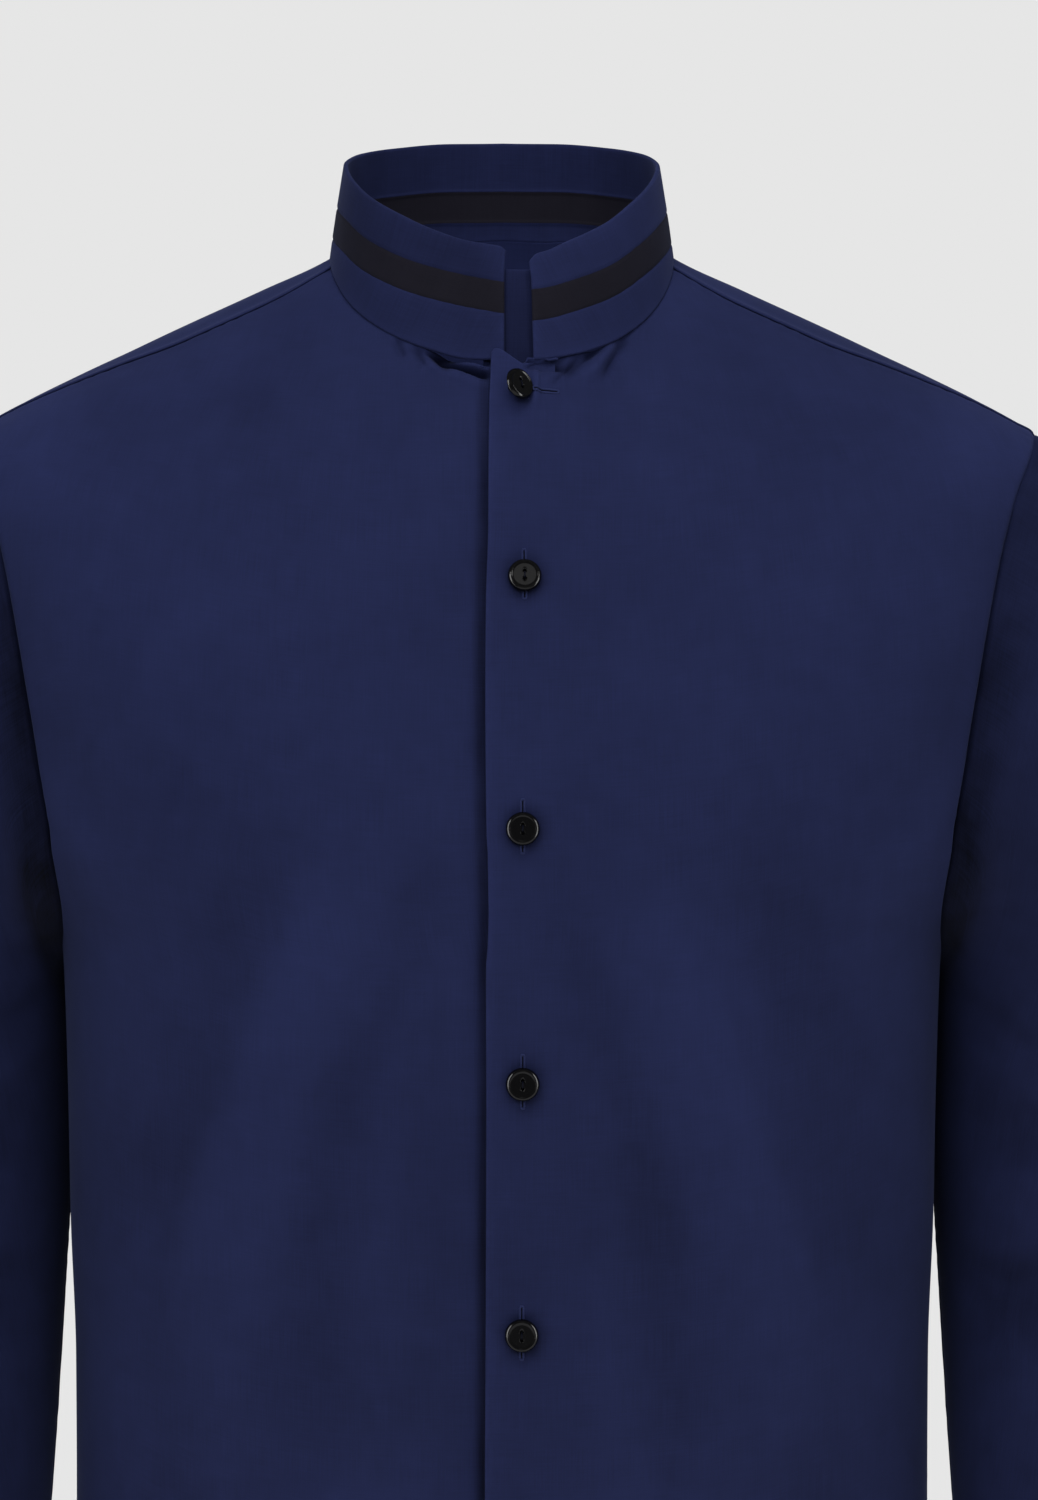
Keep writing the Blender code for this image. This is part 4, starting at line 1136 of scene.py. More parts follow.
class Workshop:
    """Makes Blender's objects from worked-out meshes, and hides the frame's part that each one stands
    for, if any.
    """

    def __init__(self) -> None:
        """Starts a collection for the shirt's new pieces, and one for those that catch glints."""
        self.collection = bpy.data.collections.new("shirt_looks")
        bpy.context.scene.collection.children.link(self.collection)
        self.glossy = bpy.data.collections.new("glossy_pieces")
        self.triangles = 0

    def piece(
        self,
        name: str,
        data: MeshData,
        material: bpy.types.Material,
        slot: str,
        node: str | None = None,
    ) -> bpy.types.Object:
        """Makes one piece and lets it ride on the shirt's body.

        Args:
            name: The piece's name.
            data: Its mesh.
            material: Its finish.
            slot: A material slot's name; not used.
            node: The frame's node that it stands for, if any.

        Returns:
            The object.
        """
        blocks = [kept for block in data.faces for kept in without_repeats(block)]
        used = np.zeros(len(data.points), bool)
        used[np.concatenate([block.ravel() for block in blocks])] = True
        renumber = np.cumsum(used) - 1
        faces = [face for block in blocks for face in renumber[block].tolist()]
        mesh = bpy.data.meshes.new(name)
        mesh.from_pydata(data.points[used].tolist(), [], faces)
        corners = np.zeros(len(mesh.loops), np.int32)
        mesh.loops.foreach_get("vertex_index", corners)
        layer = mesh.uv_layers.new(name="threads")
        layer.data.foreach_set("uv", data.threads[used][corners].astype(np.float32).ravel())
        # edge is read for rubbed edges; the second holds the painted shade and painted light
        for label, values in (("edge", data.edge), ("fold_and_painted_shade", data.fold_and_painted_shade)):
            kept = mesh.attributes.new(label, "FLOAT", "POINT")
            kept.data.foreach_set("value", values[used].astype(np.float32))
        mesh.shade_smooth()
        mesh.materials.append(material)
        made = bpy.data.objects.new(name, mesh)
        self.collection.objects.link(made)
        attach(made, BODY)
        if node:
            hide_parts(node)
        count = sum(len(face) - 2 for face in faces)
        self.triangles += count
        LOG.info("%s: %d triangles", name, count)
        return made


# --- finishes


class NodeSheet:
    """Adds nodes to a shader tree, and links them as it goes."""

    def __init__(self, tree: bpy.types.NodeTree) -> None:
        """Works on one tree."""
        self.tree = tree

    def add(
        self, kind: str, values: dict[str | int, object] | None = None, **settings: object
    ) -> bpy.types.Node:
        """Adds a node.

        Args:
            kind: Its Blender type.
            values: What each input gets: a socket is linked, and anything else is its value.
            settings: The node's own settings.

        Returns:
            The node.
        """
        node = self.tree.nodes.new(kind)
        for name, value in settings.items():
            setattr(node, name, value)
        for place, value in (values or {}).items():
            if isinstance(value, bpy.types.NodeSocket):
                self.tree.links.new(value, node.inputs[place])
            else:
                node.inputs[place].default_value = value
        return node

    def sum(self, operation: str, first: object, second: object = 0.0) -> bpy.types.NodeSocket:
        """Adds a Math node and gives its result."""
        return self.add("ShaderNodeMath", {0: first, 1: second}, operation=operation).outputs[0]

    def times(self, first: object, second: object) -> bpy.types.NodeSocket:
        """Adds a node that multiplies two values, and gives its result."""
        return self.sum("MULTIPLY", first, second)

    def about_one(self, value: object, middle: float, amount: object) -> bpy.types.NodeSocket:
        """Adds nodes that turn a value into a tone near 1, by how far it is from its middle."""
        return self.sum("ADD", self.times(self.sum("SUBTRACT", value, middle), amount), 1)

    def scaled(self, vector: object, by: Triple) -> bpy.types.NodeSocket:
        """Adds a node that scales a vector, and gives its result."""
        return self.add("ShaderNodeVectorMath", {0: vector, 1: by}, operation="MULTIPLY").outputs[0]

    def split(self, vector: object) -> bpy.types.NodeOutputs:
        """Adds a node that splits a vector, and gives its parts."""
        return self.add("ShaderNodeSeparateXYZ", {0: vector}).outputs

    def noise(self, vector: object, scale: float, detail: float = 2.0) -> bpy.types.NodeSocket:
        """Adds a noise texture and gives its value."""
        kinds = {"Vector": vector, "Scale": scale, "Detail": detail, "Roughness": 0.55}
        return self.add("ShaderNodeTexNoise", kinds).outputs[0]

    def ramp(self, value: object, low: float, high: float, to: Span) -> bpy.types.NodeSocket:
        """Adds a Map Range node from low..high to the two values, and gives its result."""
        kinds = {"Value": value, "From Min": low, "From Max": high, "To Min": to[0], "To Max": to[1]}
        return self.add("ShaderNodeMapRange", kinds).outputs[0]

    def threads(self) -> bpy.types.NodeSocket:
        """Adds the piece's own UV map, which holds the threads' coordinates."""
        return self.add("ShaderNodeUVMap", uv_map="threads").outputs["UV"]

    def kept(self, name: str) -> bpy.types.NodeSocket:
        """Adds a value that the piece's points hold, and gives it."""
        return self.add("ShaderNodeAttribute", attribute_name=name).outputs["Fac"]

    def place(self) -> bpy.types.NodeSocket:
        """Adds the place in the piece's own space."""
        return self.add("ShaderNodeTexCoord").outputs["Object"]

    def group(self, tree: bpy.types.NodeTree, values: dict[str, object]) -> bpy.types.NodeSocket:
        """Adds a node group with its inputs, and gives its one result."""
        return self.add("ShaderNodeGroup", values, node_tree=tree).outputs[0]


VECTOR, NUMBER = "NodeSocketVector", "NodeSocketFloat"


class Effect:
    """A node group that is being built, with named inputs and one named result."""

    def __init__(self, name: str, takes: dict[str, str], gives: str) -> None:
        """Makes the group's sockets.

        Args:
            name: Its name.
            takes: Its inputs' socket types, by name.
            gives: Its result's name.
        """
        self.tree = bpy.data.node_groups.new(name, "ShaderNodeTree")
        for label, kind in takes.items():
            self.tree.interface.new_socket(label, in_out="INPUT", socket_type=kind)
        self.tree.interface.new_socket(gives, in_out="OUTPUT", socket_type=NUMBER)
        self.sheet = NodeSheet(self.tree)
        self.takes = self.sheet.add("NodeGroupInput").outputs

    def give(self, result: bpy.types.NodeSocket) -> bpy.types.NodeTree:
        """Links the group's result, and gives the group."""
        self.sheet.add("NodeGroupOutput", {0: result})
        return self.tree


class ClothEffects:
    """The node groups that the cloth finishes share. Each gives a value and no shader."""

    warp_scale: Triple = (1900, 42, 1)
    weft_scale: Triple = (60, 1700, 1)

    def __init__(self) -> None:
        """Builds each group once."""
        self.weave = self.plain_weave()
        self.streaks = self.uneven_threads()
        self.mottle = self.soft_mottle()
        self.wear = self.edge_wear()

    def plain_weave(self) -> bpy.types.NodeTree:
        """A plain weave's height: the product of a sine along the weft and one along the warp.

        Returns:
            The group.
        """
        made = Effect("plain_weave", {"Threads": VECTOR, "Pitch": NUMBER}, "Height")
        sheet = made.sheet
        turns = sheet.sum("DIVIDE", TAU, made.takes["Pitch"])
        threads = sheet.split(made.takes["Threads"])
        weft, warp = (sheet.sum("SINE", sheet.times(threads[i], turns)) for i in range(2))
        return made.give(sheet.sum("ADD", sheet.times(sheet.times(weft, warp), 0.5), 0.5))

    def uneven_threads(self) -> bpy.types.NodeTree:
        """Thicker and thinner threads: noise stretched along the warp, and less along the weft.

        Returns:
            The group.
        """
        made = Effect("uneven_threads", {"Threads": VECTOR, "Amount": NUMBER}, "Tone")
        sheet, threads = made.sheet, made.takes["Threads"]
        warp = sheet.noise(sheet.scaled(threads, self.warp_scale), 1.0)
        weft = sheet.noise(sheet.scaled(threads, self.weft_scale), 1.0)
        total = sheet.sum("ADD", sheet.times(warp, 1.2), weft)
        return made.give(sheet.about_one(total, 1.1, made.takes["Amount"]))

    def soft_mottle(self) -> bpy.types.NodeTree:
        """Soft uneven dye: slow and quicker noise in the shirt's own space.

        Returns:
            The group.
        """
        made = Effect("soft_mottle", {"Place": VECTOR, "Amount": NUMBER}, "Tone")
        sheet, place = made.sheet, made.takes["Place"]
        fine = sheet.noise(place, 95.0, 3.0)
        total = sheet.sum("ADD", sheet.noise(place, 16.0, 4.0), sheet.times(fine, 0.6))
        return made.give(sheet.about_one(total, 0.8, made.takes["Amount"]))

    def edge_wear(self) -> bpy.types.NodeTree:
        """How rubbed a turned edge is: its nearness, broken up by noise.

        Returns:
            The group.
        """
        made = Effect("edge_wear", {"Edge": NUMBER, "Place": VECTOR}, "Mask")
        broken = made.sheet.noise(made.takes["Place"], 420.0, 2.0)
        return made.give(made.sheet.times(made.takes["Edge"], broken))


@dataclass(frozen=True)
class Finish:
    """A finish: its name, its colour and how rough it is."""

    name: str
    colour: Triple
    roughness: float

    def inputs(self, sheet: NodeSheet) -> dict[str, object]:
        """Adds the finish's own nodes, and gives the shader's inputs."""
        raise NotImplementedError

    def material(self) -> bpy.types.Material:
        """Builds the material.

        Returns:
            The material.
        """
        made = bpy.data.materials.new(self.name)
        made.use_nodes = True
        made.node_tree.nodes.clear()
        sheet = NodeSheet(made.node_tree)
        shader = sheet.add("ShaderNodeBsdfPrincipled", self.inputs(sheet))
        sheet.add("ShaderNodeOutputMaterial", {"Surface": shader.outputs[0]})
        return made


@dataclass(frozen=True)
class Cloth(Finish):
    """A matt woven finish, with the sizes of its threads."""

    effects: ClothEffects
    sheen: float = 0.07
    sheen_colour: Triple = (0.35, 0.42, 0.80)
    sheen_roughness: float = 0.45
    specular: float = 0.16
    pitch: float = 0.32 * MM
    relief: float = 0.012 * MM
    streaks: float = 0.30
    mottle: float = 0.42
    wear: float = 0.40
    # how much the painted shade and painted light darken or lighten the colour
    painted_shade_strength: float = 0.17

    def height(self, sheet: NodeSheet, threads: object) -> object:
        """Adds the weave's relief, 0 to 1."""
        return sheet.group(self.effects.weave, {"Threads": threads, "Pitch": self.pitch})

    def inputs(self, sheet: NodeSheet) -> dict[str, object]:
        """Adds the weave, uneven threads and dye, rubbed edges, and the painted shade and painted light
        that each point holds.

        Args:
            sheet: The material's nodes.

        Returns:
            The shader's inputs.
        """
        effects, threads, place = self.effects, sheet.threads(), sheet.place()
        streaks = sheet.group(effects.streaks, {"Threads": threads, "Amount": self.streaks})
        mottle = sheet.group(effects.mottle, {"Place": place, "Amount": self.mottle})
        worn = sheet.group(effects.wear, {"Edge": sheet.kept("edge"), "Place": place})
        # painted shade and painted light: darker in folds' troughs and shaded places, lighter on ridges
        # and lit places
        turned = sheet.times(sheet.kept("fold_and_painted_shade"), self.painted_shade_strength)
        turned = sheet.sum("ADD", turned, sheet.times(worn, self.wear))
        tone = sheet.sum("ADD", sheet.times(streaks, mottle), turned)
        colour = sheet.add("ShaderNodeVectorMath", {0: self.colour, "Scale": tone}, operation="SCALE")
        relief = {"Distance": self.relief, "Height": self.height(sheet, threads)}
        return {
            "Base Color": colour.outputs[0],
            "Roughness": self.roughness,
            "Sheen Weight": self.sheen,
            "Sheen Roughness": self.sheen_roughness,
            "Sheen Tint": (*self.sheen_colour, 1.0),
            "Specular IOR Level": self.specular,
            "Normal": sheet.add("ShaderNodeBump", relief).outputs[0],
        }


@dataclass(frozen=True)
class Tape(Cloth):
    """A ribbed woven tape, whose ribs run across it."""

    rib: float = 0.55 * MM

    def height(self, sheet: NodeSheet, threads: object) -> object:
        """Adds the tape's relief: a sine along its length."""
        return sheet.sum("SINE", sheet.times(sheet.split(threads)[0], TAU / self.rib))


@dataclass(frozen=True)
class SewingThread(Finish):
    """A twisted polyester thread, a little glossier than the cloth."""

    ridge: float = 0.42 * MM
    relief: float = 0.05 * MM
    slant: float = 0.6
    specular: float = 0.2

    def inputs(self, sheet: NodeSheet) -> dict[str, object]:
        """Adds ridges, a sine that runs aslant along the thread.

        Args:
            sheet: The material's nodes.

        Returns:
            The shader's inputs.
        """
        around, along = sheet.split(sheet.threads())[:2]
        aslant = sheet.sum("ADD", along, sheet.times(around, self.slant))
        ridges = sheet.sum("SINE", sheet.times(aslant, TAU / self.ridge))
        bump = sheet.add("ShaderNodeBump", {"Distance": self.relief, "Height": ridges})
        return {
            "Base Color": (*self.colour, 1.0),
            "Roughness": self.roughness,
            "Specular IOR Level": self.specular,
            "Normal": bump.outputs[0],
        }


@dataclass(frozen=True)
class GlossPlastic(Finish):
    """Polished black button plastic, with faint scratches and specks of dust."""

    dust: Triple = (0.011, 0.0115, 0.013)
    dust_band: Span = (0.62, 0.78)
    dust_scale: float = 2600.0
    scratch: float = 0.16
    scratch_band: Span = (0.60, 0.72)
    scratch_scale: Triple = (300, 5200, 1)
    specular: float = 0.2
    coat: float = 0.12
    coat_roughness: float = 0.08

    def inputs(self, sheet: NodeSheet) -> dict[str, object]:
        """Adds scratches, noise drawn out round the button, and specks of dust.

        Args:
            sheet: The material's nodes.

        Returns:
            The shader's inputs.
        """
        polar = sheet.threads()
        lines = sheet.noise(sheet.scaled(polar, self.scratch_scale), 1.0, 3.0)
        scratches = sheet.times(sheet.ramp(lines, *self.scratch_band, (0.0, 1.0)), self.scratch)
        specks = sheet.ramp(sheet.noise(polar, self.dust_scale), *self.dust_band, (0.0, 0.6))
        colours = {0: specks, 6: (*self.colour, 1.0), 7: (*self.dust, 1.0)}
        return {
            "Base Color": sheet.add("ShaderNodeMix", colours, data_type="RGBA").outputs[2],
            "Roughness": sheet.sum("ADD", scratches, self.roughness),
            "Specular IOR Level": self.specular,
            "Coat Weight": self.coat,
            "Coat Roughness": self.coat_roughness,
        }


@dataclass(frozen=True)
class StageFloor(Finish):
    """A pale floor whose rim fades away."""

    glow: float = 0.28
    fade_start: float = 0.9
    fade_end: float = 1.9

    def inputs(self, sheet: NodeSheet) -> dict[str, object]:
        """Lets the floor's cover fall with the distance from the middle.

        Args:
            sheet: The material's nodes.

        Returns:
            The shader's inputs.
        """
        flat = sheet.scaled(sheet.place(), (1, 1, 0))
        away = sheet.add("ShaderNodeVectorMath", {0: flat}, operation="LENGTH").outputs["Value"]
        return {
            "Base Color": (*self.colour, 1.0),
            "Roughness": self.roughness,
            "Alpha": sheet.ramp(away, self.fade_start, self.fade_end, (1.0, 0.0)),
            "Emission Color": (*self.colour, 1.0),
            "Emission Strength": self.glow,
        }


class Finishes:
    """Every material of the shirt, built once."""

    def __init__(self) -> None:
        """Builds the materials."""
        effects = ClothEffects()
        self.poplin = Cloth("navy_poplin_look", (0.0152, 0.0203, 0.0690), 0.86, effects).material()
        tape = Tape("black_tape_look", (0.0104, 0.0098, 0.0152), 0.86, effects, sheen=0.05)
        self.tape = tape.material()
        self.button = GlossPlastic("black_button_look", (0.0020, 0.0020, 0.0024), 0.16).material()
        self.thread = SewingThread("navy_thread_look", (0.0190, 0.0250, 0.0830), 0.7).material()
        pale = SewingThread("buttonhole_thread_look", (0.0240, 0.0320, 0.1000), 0.7)
        self.pale_thread = pale.material()
        dark = SewingThread("button_thread_look", (0.0050, 0.0060, 0.0150), 0.7)
        self.dark_thread = dark.material()
        # a near-black strip for the painted shadow in each buttonhole's slit, made with the thread's
        # shader
        self.slit = SewingThread("slit_shadow_look", (0.002, 0.002, 0.004), 0.9).material()


# --- the panels


def patch(
    bottom: Array, top: Array, left: Array, right: Array, s: Array, t: Array
) -> tuple[Array, Array]:
    """A Coons patch between four edges of (u, a) pairs.

    Args:
        bottom: The edge at t = 0, a pair for each s.
        top: The edge at t = 1.
        left: The edge at s = 0, a pair for each t.
        right: The edge at s = 1.
        s: Shares across.
        t: Shares upwards.

    Returns:
        u and a of every point, in rows from the bottom.
    """
    s, t = s[None, :, None], t[:, None, None]
    across = (1 - s) * left[:, None] + s * right[:, None]
    along = (1 - t) * bottom[None] + t * top[None]
    corners = (1 - t) * ((1 - s) * bottom[0] + s * bottom[-1])
    corners = corners + t * ((1 - s) * top[0] + s * top[-1])
    places = across + along - corners
    return places[..., 0], places[..., 1]


@dataclass
class Seams:
    """How the cloth turns in at a seam."""

    depth: float = 0.8 * MM
    width: float = 1.1 * MM
    reach: float = 0.45 * MM
    ripple: float = 0.18 * MM
    ripple_pitch: float = 7 * MM
    ripple_fade: float = 5 * MM
    allowance: float = 0.30 * MM
    allowance_at: float = 3.6 * MM
    allowance_width: float = 2.6 * MM

    def sew(self, surface: Surface, side: Side, weight: Array | float = 1.0) -> None:
        """Puckers the cloth beside a seam, turns it in and carries it on a little past the seam.

        Args:
            surface: The cloth.
            side: The side that is sewn.
            weight: A share for each place along it.
        """
        surface.pucker(side, self.ripple, self.ripple_pitch, self.ripple_fade, weight)
        surface.sink(side, -self.allowance, self.allowance_width, weight, self.allowance_at)
        surface.sink(side, self.depth, self.width, weight)
        surface.reach(side, self.reach, weight)


@dataclass
class Panel:
    """A piece of cloth cut to the shirt's form."""

    form: ShirtForm
    name: str
    node: str
    hangs_from: str
    flat: Span
    area: float
    grain: Grain = Grain.UPRIGHT
    from_middle: bool = True
    seams: Seams = field(default_factory=Seams)
    surface: Surface = field(init=False)

    def __post_init__(self) -> None:
        """Works out the panel's surface."""
        self.surface = self.shape()

    def shape(self) -> Surface:
        """The middle of the cloth, with its folds and seams."""
        raise NotImplementedError

    def cut(self) -> WallCut:
        """Where its faces stand, and which sides are turned: none, unless a panel says so."""
        return WallCut()

    def build(self, shop: Workshop, material: bpy.types.Material, slot: str = "navy_poplin") -> None:
        """Makes the panel.

        Args:
            shop: Where it is made.
            material: Its finish.
            slot: A material slot's name.
        """
        surface = self.surface
        anchor = surface.points.shape[1] // 2 if self.from_middle else 0
        data = surface.wall(self.cut(), surface.threads(self.grain, anchor))
        made = shop.piece(self.name, data, material, slot, self.node)
        wide, long = (surface.run_from(s).max() for s in (Side.FIRST_COLUMN, Side.FIRST_ROW))
        LOG.info("%s: %.3f x %.3f m, area %.4f m2", self.name, wide, long, surface.area())


def levels_up(form: ShirtForm, u: Array, hem_z: float, share: Array) -> Array:
    """Heights of a panel's rows from the hem up to the chest, for each column.

    The hem curves up to the side seams. Above the armpit the rows close up as a sine does.

    Args:
        form: The shirt.
        u: The columns.
        hem_z: The hem's height in the middle.
        share: Shares of the way down from the armpit to the hem, falling.

    Returns:
        Heights, in rows from the hem.
    """
    hem = hem_z + (form.side_hem_z - hem_z) * np.abs(u) ** 2.5
    below = form.armpit_z + (hem[None] - form.armpit_z) * share[:, None]
    sweep = np.linspace(math.pi / 2, 0, form.chest_rows)[1:, None]
    rise = (form.chest_z - form.armpit_z) * np.sin(sweep)
    return np.vstack([below, form.chest_z - rise + 0 * u[None]])


@dataclass
class FrontPanel(Panel):
    """One of the two fronts. The wearer's left one laps over the right one."""

    from_middle: bool = False
    side: int = 1
    creases: Sequence[Row] = ()
    button_z: Sequence[float] = ()
    button_x: float = 8.6 * MM
    fullness: float = 2.4 * MM
    gape_z: Span = (0.060, 0.11)
    stand_reach: float = 9.5 * MM
    dip_share: float = 0.9
    dip_at: float = 2.0 * MM
    dip_reach: float = 5.0 * MM
    # painted shadow on the right front, under and beside the left front's edge
    shadow_reach: float = 6.6 * MM
    shadow_tone: float = 3.4
    shadow_z: Span = (0.042, 0.060)
    # painted shade in hollows deeper than hollow_from, below the collar
    hollow_from: float = 1.2
    hollow_shade: float = 0.9
    hollow_z: Span = (-0.068, -0.058)
    # painted highlight at the shoulders' outer ends
    shoulder_shine: float = 1.2
    shoulder_x: Span = (0.160, 0.195)
    shoulder_z: Span = (-0.125, -0.080)
    # painted shade, darker towards the hem
    low_shade: float = 0.5
    low_z: Span = (0.30, 0.40)
    # painted shadow along the shoulder seam, under the yoke's edge
    seam_shade: float = 1.6
    seam_fade: float = 1.8 * MM
    shoulder_dip: Span = (1.0 * MM, 1.5 * MM)
    band_ripple: Triple = (0.30 * MM, 8 * MM, 6 * MM)
    band_dip: Span = (0.8 * MM, 3.2 * MM)
    band_reach: float = 0.8 * MM
    # painted shadow round each button, shifted right and down
    button_shadow_radius: float = 9.4 * MM
    button_shadow_shift: float = 0.8 * MM
    button_shadow_tone: float = 2.6
    dimple_depth: float = 0.9 * MM
    dimple_radius: float = 8.5 * MM
    corner_radius: float = 2.2 * MM
    corner_reach: float = 13 * MM
    neck_length: float = 0.098
    shoulder_length: float = 0.150
    chest_length: float = 0.215
    body_length: float = 0.455
    top_is_free: Array = field(init=False)

    def shares(self) -> tuple[Array, Array]:
        """Shares across the panel and up from its chest, closest beside the closure and neck.

        Returns:
            Both, rising. The first two thirds across lead to the collar seam.
        """
        neck = spaced(self.neck_length, 2.3 * MM, start=steps_to(0.058, 0.9 * MM))
        outer = spaced(self.shoulder_length, 3.0 * MM, end=TURNED_STEPS)
        under_band = steps_to(0.0125, 0.5 * MM) + (0.0137, 0.0152, 0.0170, 0.0192)
        up = spaced(self.chest_length, 3.2 * MM, end=under_band)
        return np.concatenate([neck * 2 / 3, 2 / 3 + outer[1:] / 3]), up

    def shape(self) -> Surface:
        """The front's middle surface.

        Returns:
            Rows from the hem up and columns from the closure to the side seam.
        """
        form, side = self.form, self.side
        s, t = self.shares()
        near_neck = s <= 2 / 3 + 1e-9
        inner, outer = np.clip(s * 1.5, 0, 1), np.clip(s * 3 - 2, 0, 1)

        start = math.asin(float(form.front_edge(form.neck_front_z, side)) / form.neck_half_width)
        turn = side * (start * side + (form.neck_point_angle - start * side) * inner)
        neck_u, neck_a = form.neck_seam(turn)
        neck_share = abs(float(neck_u[near_neck][-1]))
        seam_u, seam_a = form.shoulder_seam(side * (neck_share + (1 - neck_share) * outer))
        top = np.stack([np.where(near_neck, neck_u, seam_u), np.where(near_neck, neck_a, seam_a)], -1)

        edge_u = float(form.front_edge(form.chest_z, side)) / form.chest_edge_x
        point = form.neck_point_share
        to_point = side * edge_u + (point - side * edge_u) * inner
        columns = side * np.where(near_neck, to_point, point + (1 - point) * outer)
        chest = -math.pi / 2
        bottom = np.stack([columns, np.full_like(columns, chest)], axis=-1)
        left_a = chest + (top[0, 1] - chest) * t
        left_u = np.full_like(left_a, edge_u)
        for _ in range(6):
            left_z = form.upper_point(left_u, left_a)[:, 2]
            left_u = form.front_edge(left_z, side) / form.armhole_x(left_z)
        left = np.stack([left_u, left_a], axis=-1)
        left[-1] = top[0]
        right_a = chest + (top[-1, 1] - chest) * t
        right = np.stack([np.full_like(right_a, side), right_a], axis=-1)
        upper = form.upper_point(*patch(bottom, top, left, right, s, t))

        down = 1 - spaced(self.body_length, 4.5 * MM, start=HEM_STEPS)
        levels = levels_up(form, columns, form.front_hem_z, down)
        share = (columns - edge_u) / (side - edge_u)
        edge_here = form.front_edge(levels, side) / form.half_width(levels)
        lower = form.lower_point(edge_here + share[None] * (side - edge_here), levels, -1)

        surface = Surface(np.vstack([lower[:-1], upper]), side)
        self.drape(surface, share)
        self.finish_edges(surface, near_neck)
        return surface

    def drape(self, surface: Surface, share: Array) -> None:
        """Adds the lap of the closure, the folds and the creases, painted shade in the deep hollows
        below the collar and towards the hem, and a painted highlight at the shoulders' outer ends.

        Args:
            surface: The front's plain surface, which is moved.
            share: Each column's share of the way to the side seam.
        """
        x, z = surface.points[..., 0], surface.points[..., 2]
        surface.lift(self.form.lap(x, self.side))
        surface.fold_and_painted_shade(crease_height(x, z, FRONT_FOLDS) * (1 - np.abs(share[None]) ** 6))
        surface.fold_and_painted_shade(crease_height(x, z, self.creases))
        # painted shade in the deep hollows below the collar and towards the hem, and a painted
        # highlight at the shoulders' outer ends
        hollow = np.maximum(-surface.relief - self.hollow_from, 0) * smoothstep(z, *self.hollow_z)
        outside = smoothstep(np.abs(x), *self.shoulder_x) * smoothstep(z, *self.shoulder_z)
        surface.shade += self.shoulder_shine * outside - self.hollow_shade * hollow
        surface.shade -= self.low_shade * smoothstep(-z, *self.low_z)
        surface.lift(self.closure_play(surface))

    def closure_play(self, surface: Surface) -> Array:
        """How the closure gapes between buttons.

        The folded edge on top stands off the shirt, most halfway between two buttons, and the cloth
        beside it dips. It also adds painted shadow round each button and under the top edge.

        Args:
            surface: The front.

        Returns:
            Heights.
        """
        x, z = surface.points[..., 0], surface.points[..., 2]
        places = np.array(self.button_z)[::-1]
        between = np.interp(z, places, np.arange(len(places)))
        gape = np.sin(math.pi * between) ** 2 * (0.75 + 0.25 * np.sin(9.1 * between + 0.7))
        gape = (0.30 + 0.70 * gape) * smoothstep(-z, *self.gape_z)
        inside = x - self.form.closure_x(z)
        if self.side > 0:
            # painted shadow round each button
            off = self.button_shadow_shift
            button_shadow = self.round_buttons(x - off, z + off, self.button_shadow_radius, 4)
            surface.shade -= self.button_shadow_tone * button_shadow
            stand = self.fullness * gape * np.exp(-((inside / self.stand_reach) ** 2))
            return stand - self.dimple_depth * self.round_buttons(x, z, self.dimple_radius, 2)
        dip = np.exp(-(((inside + self.dip_at) / self.dip_reach) ** 2))
        # painted shadow under and beside the left front's edge
        hidden = 1 - smoothstep(-inside, self.shadow_reach / 3, self.shadow_reach)
        hidden = hidden * smoothstep(-z, *self.shadow_z) * (0.75 + 0.25 * gape)
        surface.shade -= self.shadow_tone * hidden
        return -self.dip_share * self.fullness * dip * (0.35 + 0.65 * gape)

    def round_buttons(self, x: Array, z: Array, radius: float, power: int) -> Array:
        """One at the middle of each button, falling to nothing round it as a bell curve does.

        Args:
            x: Places across.
            z: Heights.
            radius: Where it has fallen to a third.
            power: 2 for a bell curve, more for one with a flatter top.

        Returns:
            Shares.
        """
        total = np.zeros_like(x)
        for height in self.button_z[1:]:
            away = np.hypot(x - self.button_x, z - height) / radius
            total += np.exp(-(away**power))
        return total

    def finish_edges(self, surface: Surface, near_neck: Array) -> None:
        """Adds the corner over the band's end, the seams, painted shadow along the shoulder seam and
        the hem's row of stitches.

        Args:
            surface: The front, which is moved.
            near_neck: Which columns end at the collar seam.
        """
        top_x = surface.points[-1, :, 0]
        self.top_is_free = (top_x < self.form.collar_left_end_x) & (self.side > 0)
        if self.side > 0:
            rise = np.interp(top_x, LAPEL_EDGE["x"], LAPEL_EDGE["rise"])
            rise = rise - quarter_round(surface.run_from(Side.FIRST_COLUMN)[-1], self.corner_radius)
            down = surface.run_from(Side.LAST_ROW)
            near_top = np.clip(1 - down / self.corner_reach, 0, 1) ** 1.6
            surface.points[..., 2] += rise[None] * near_top
        shoulder = 1.0 - near_neck
        under_band = 1.0 * (near_neck & ~self.top_is_free)
        surface.stitch_line(Side.FIRST_ROW, HEM_STITCHES)
        self.seams.sew(surface, Side.LAST_COLUMN)
        self.seams.sew(surface, Side.LAST_ROW, shoulder)
        surface.sink(Side.LAST_ROW, *self.shoulder_dip, shoulder)
        # painted shadow along the shoulder seam
        surface.shade -= self.seam_shade * surface.beside(Side.LAST_ROW, 0, self.seam_fade) * shoulder
        surface.pucker(Side.LAST_ROW, *self.band_ripple, under_band)
        near_closure = 1 - smoothstep(np.abs(top_x - self.button_x), 0.030, 0.060)
        surface.sink(Side.LAST_ROW, *self.band_dip, under_band * (0.4 + 0.6 * near_closure))
        surface.reach(Side.LAST_ROW, self.band_reach, under_band)

    def cut(self) -> WallCut:
        """The closure's edge, the hem and the free top corner are turned."""
        closed = {Side.FIRST_COLUMN: True, Side.FIRST_ROW: True}
        return WallCut(turned={**closed, Side.LAST_ROW: self.top_is_free})


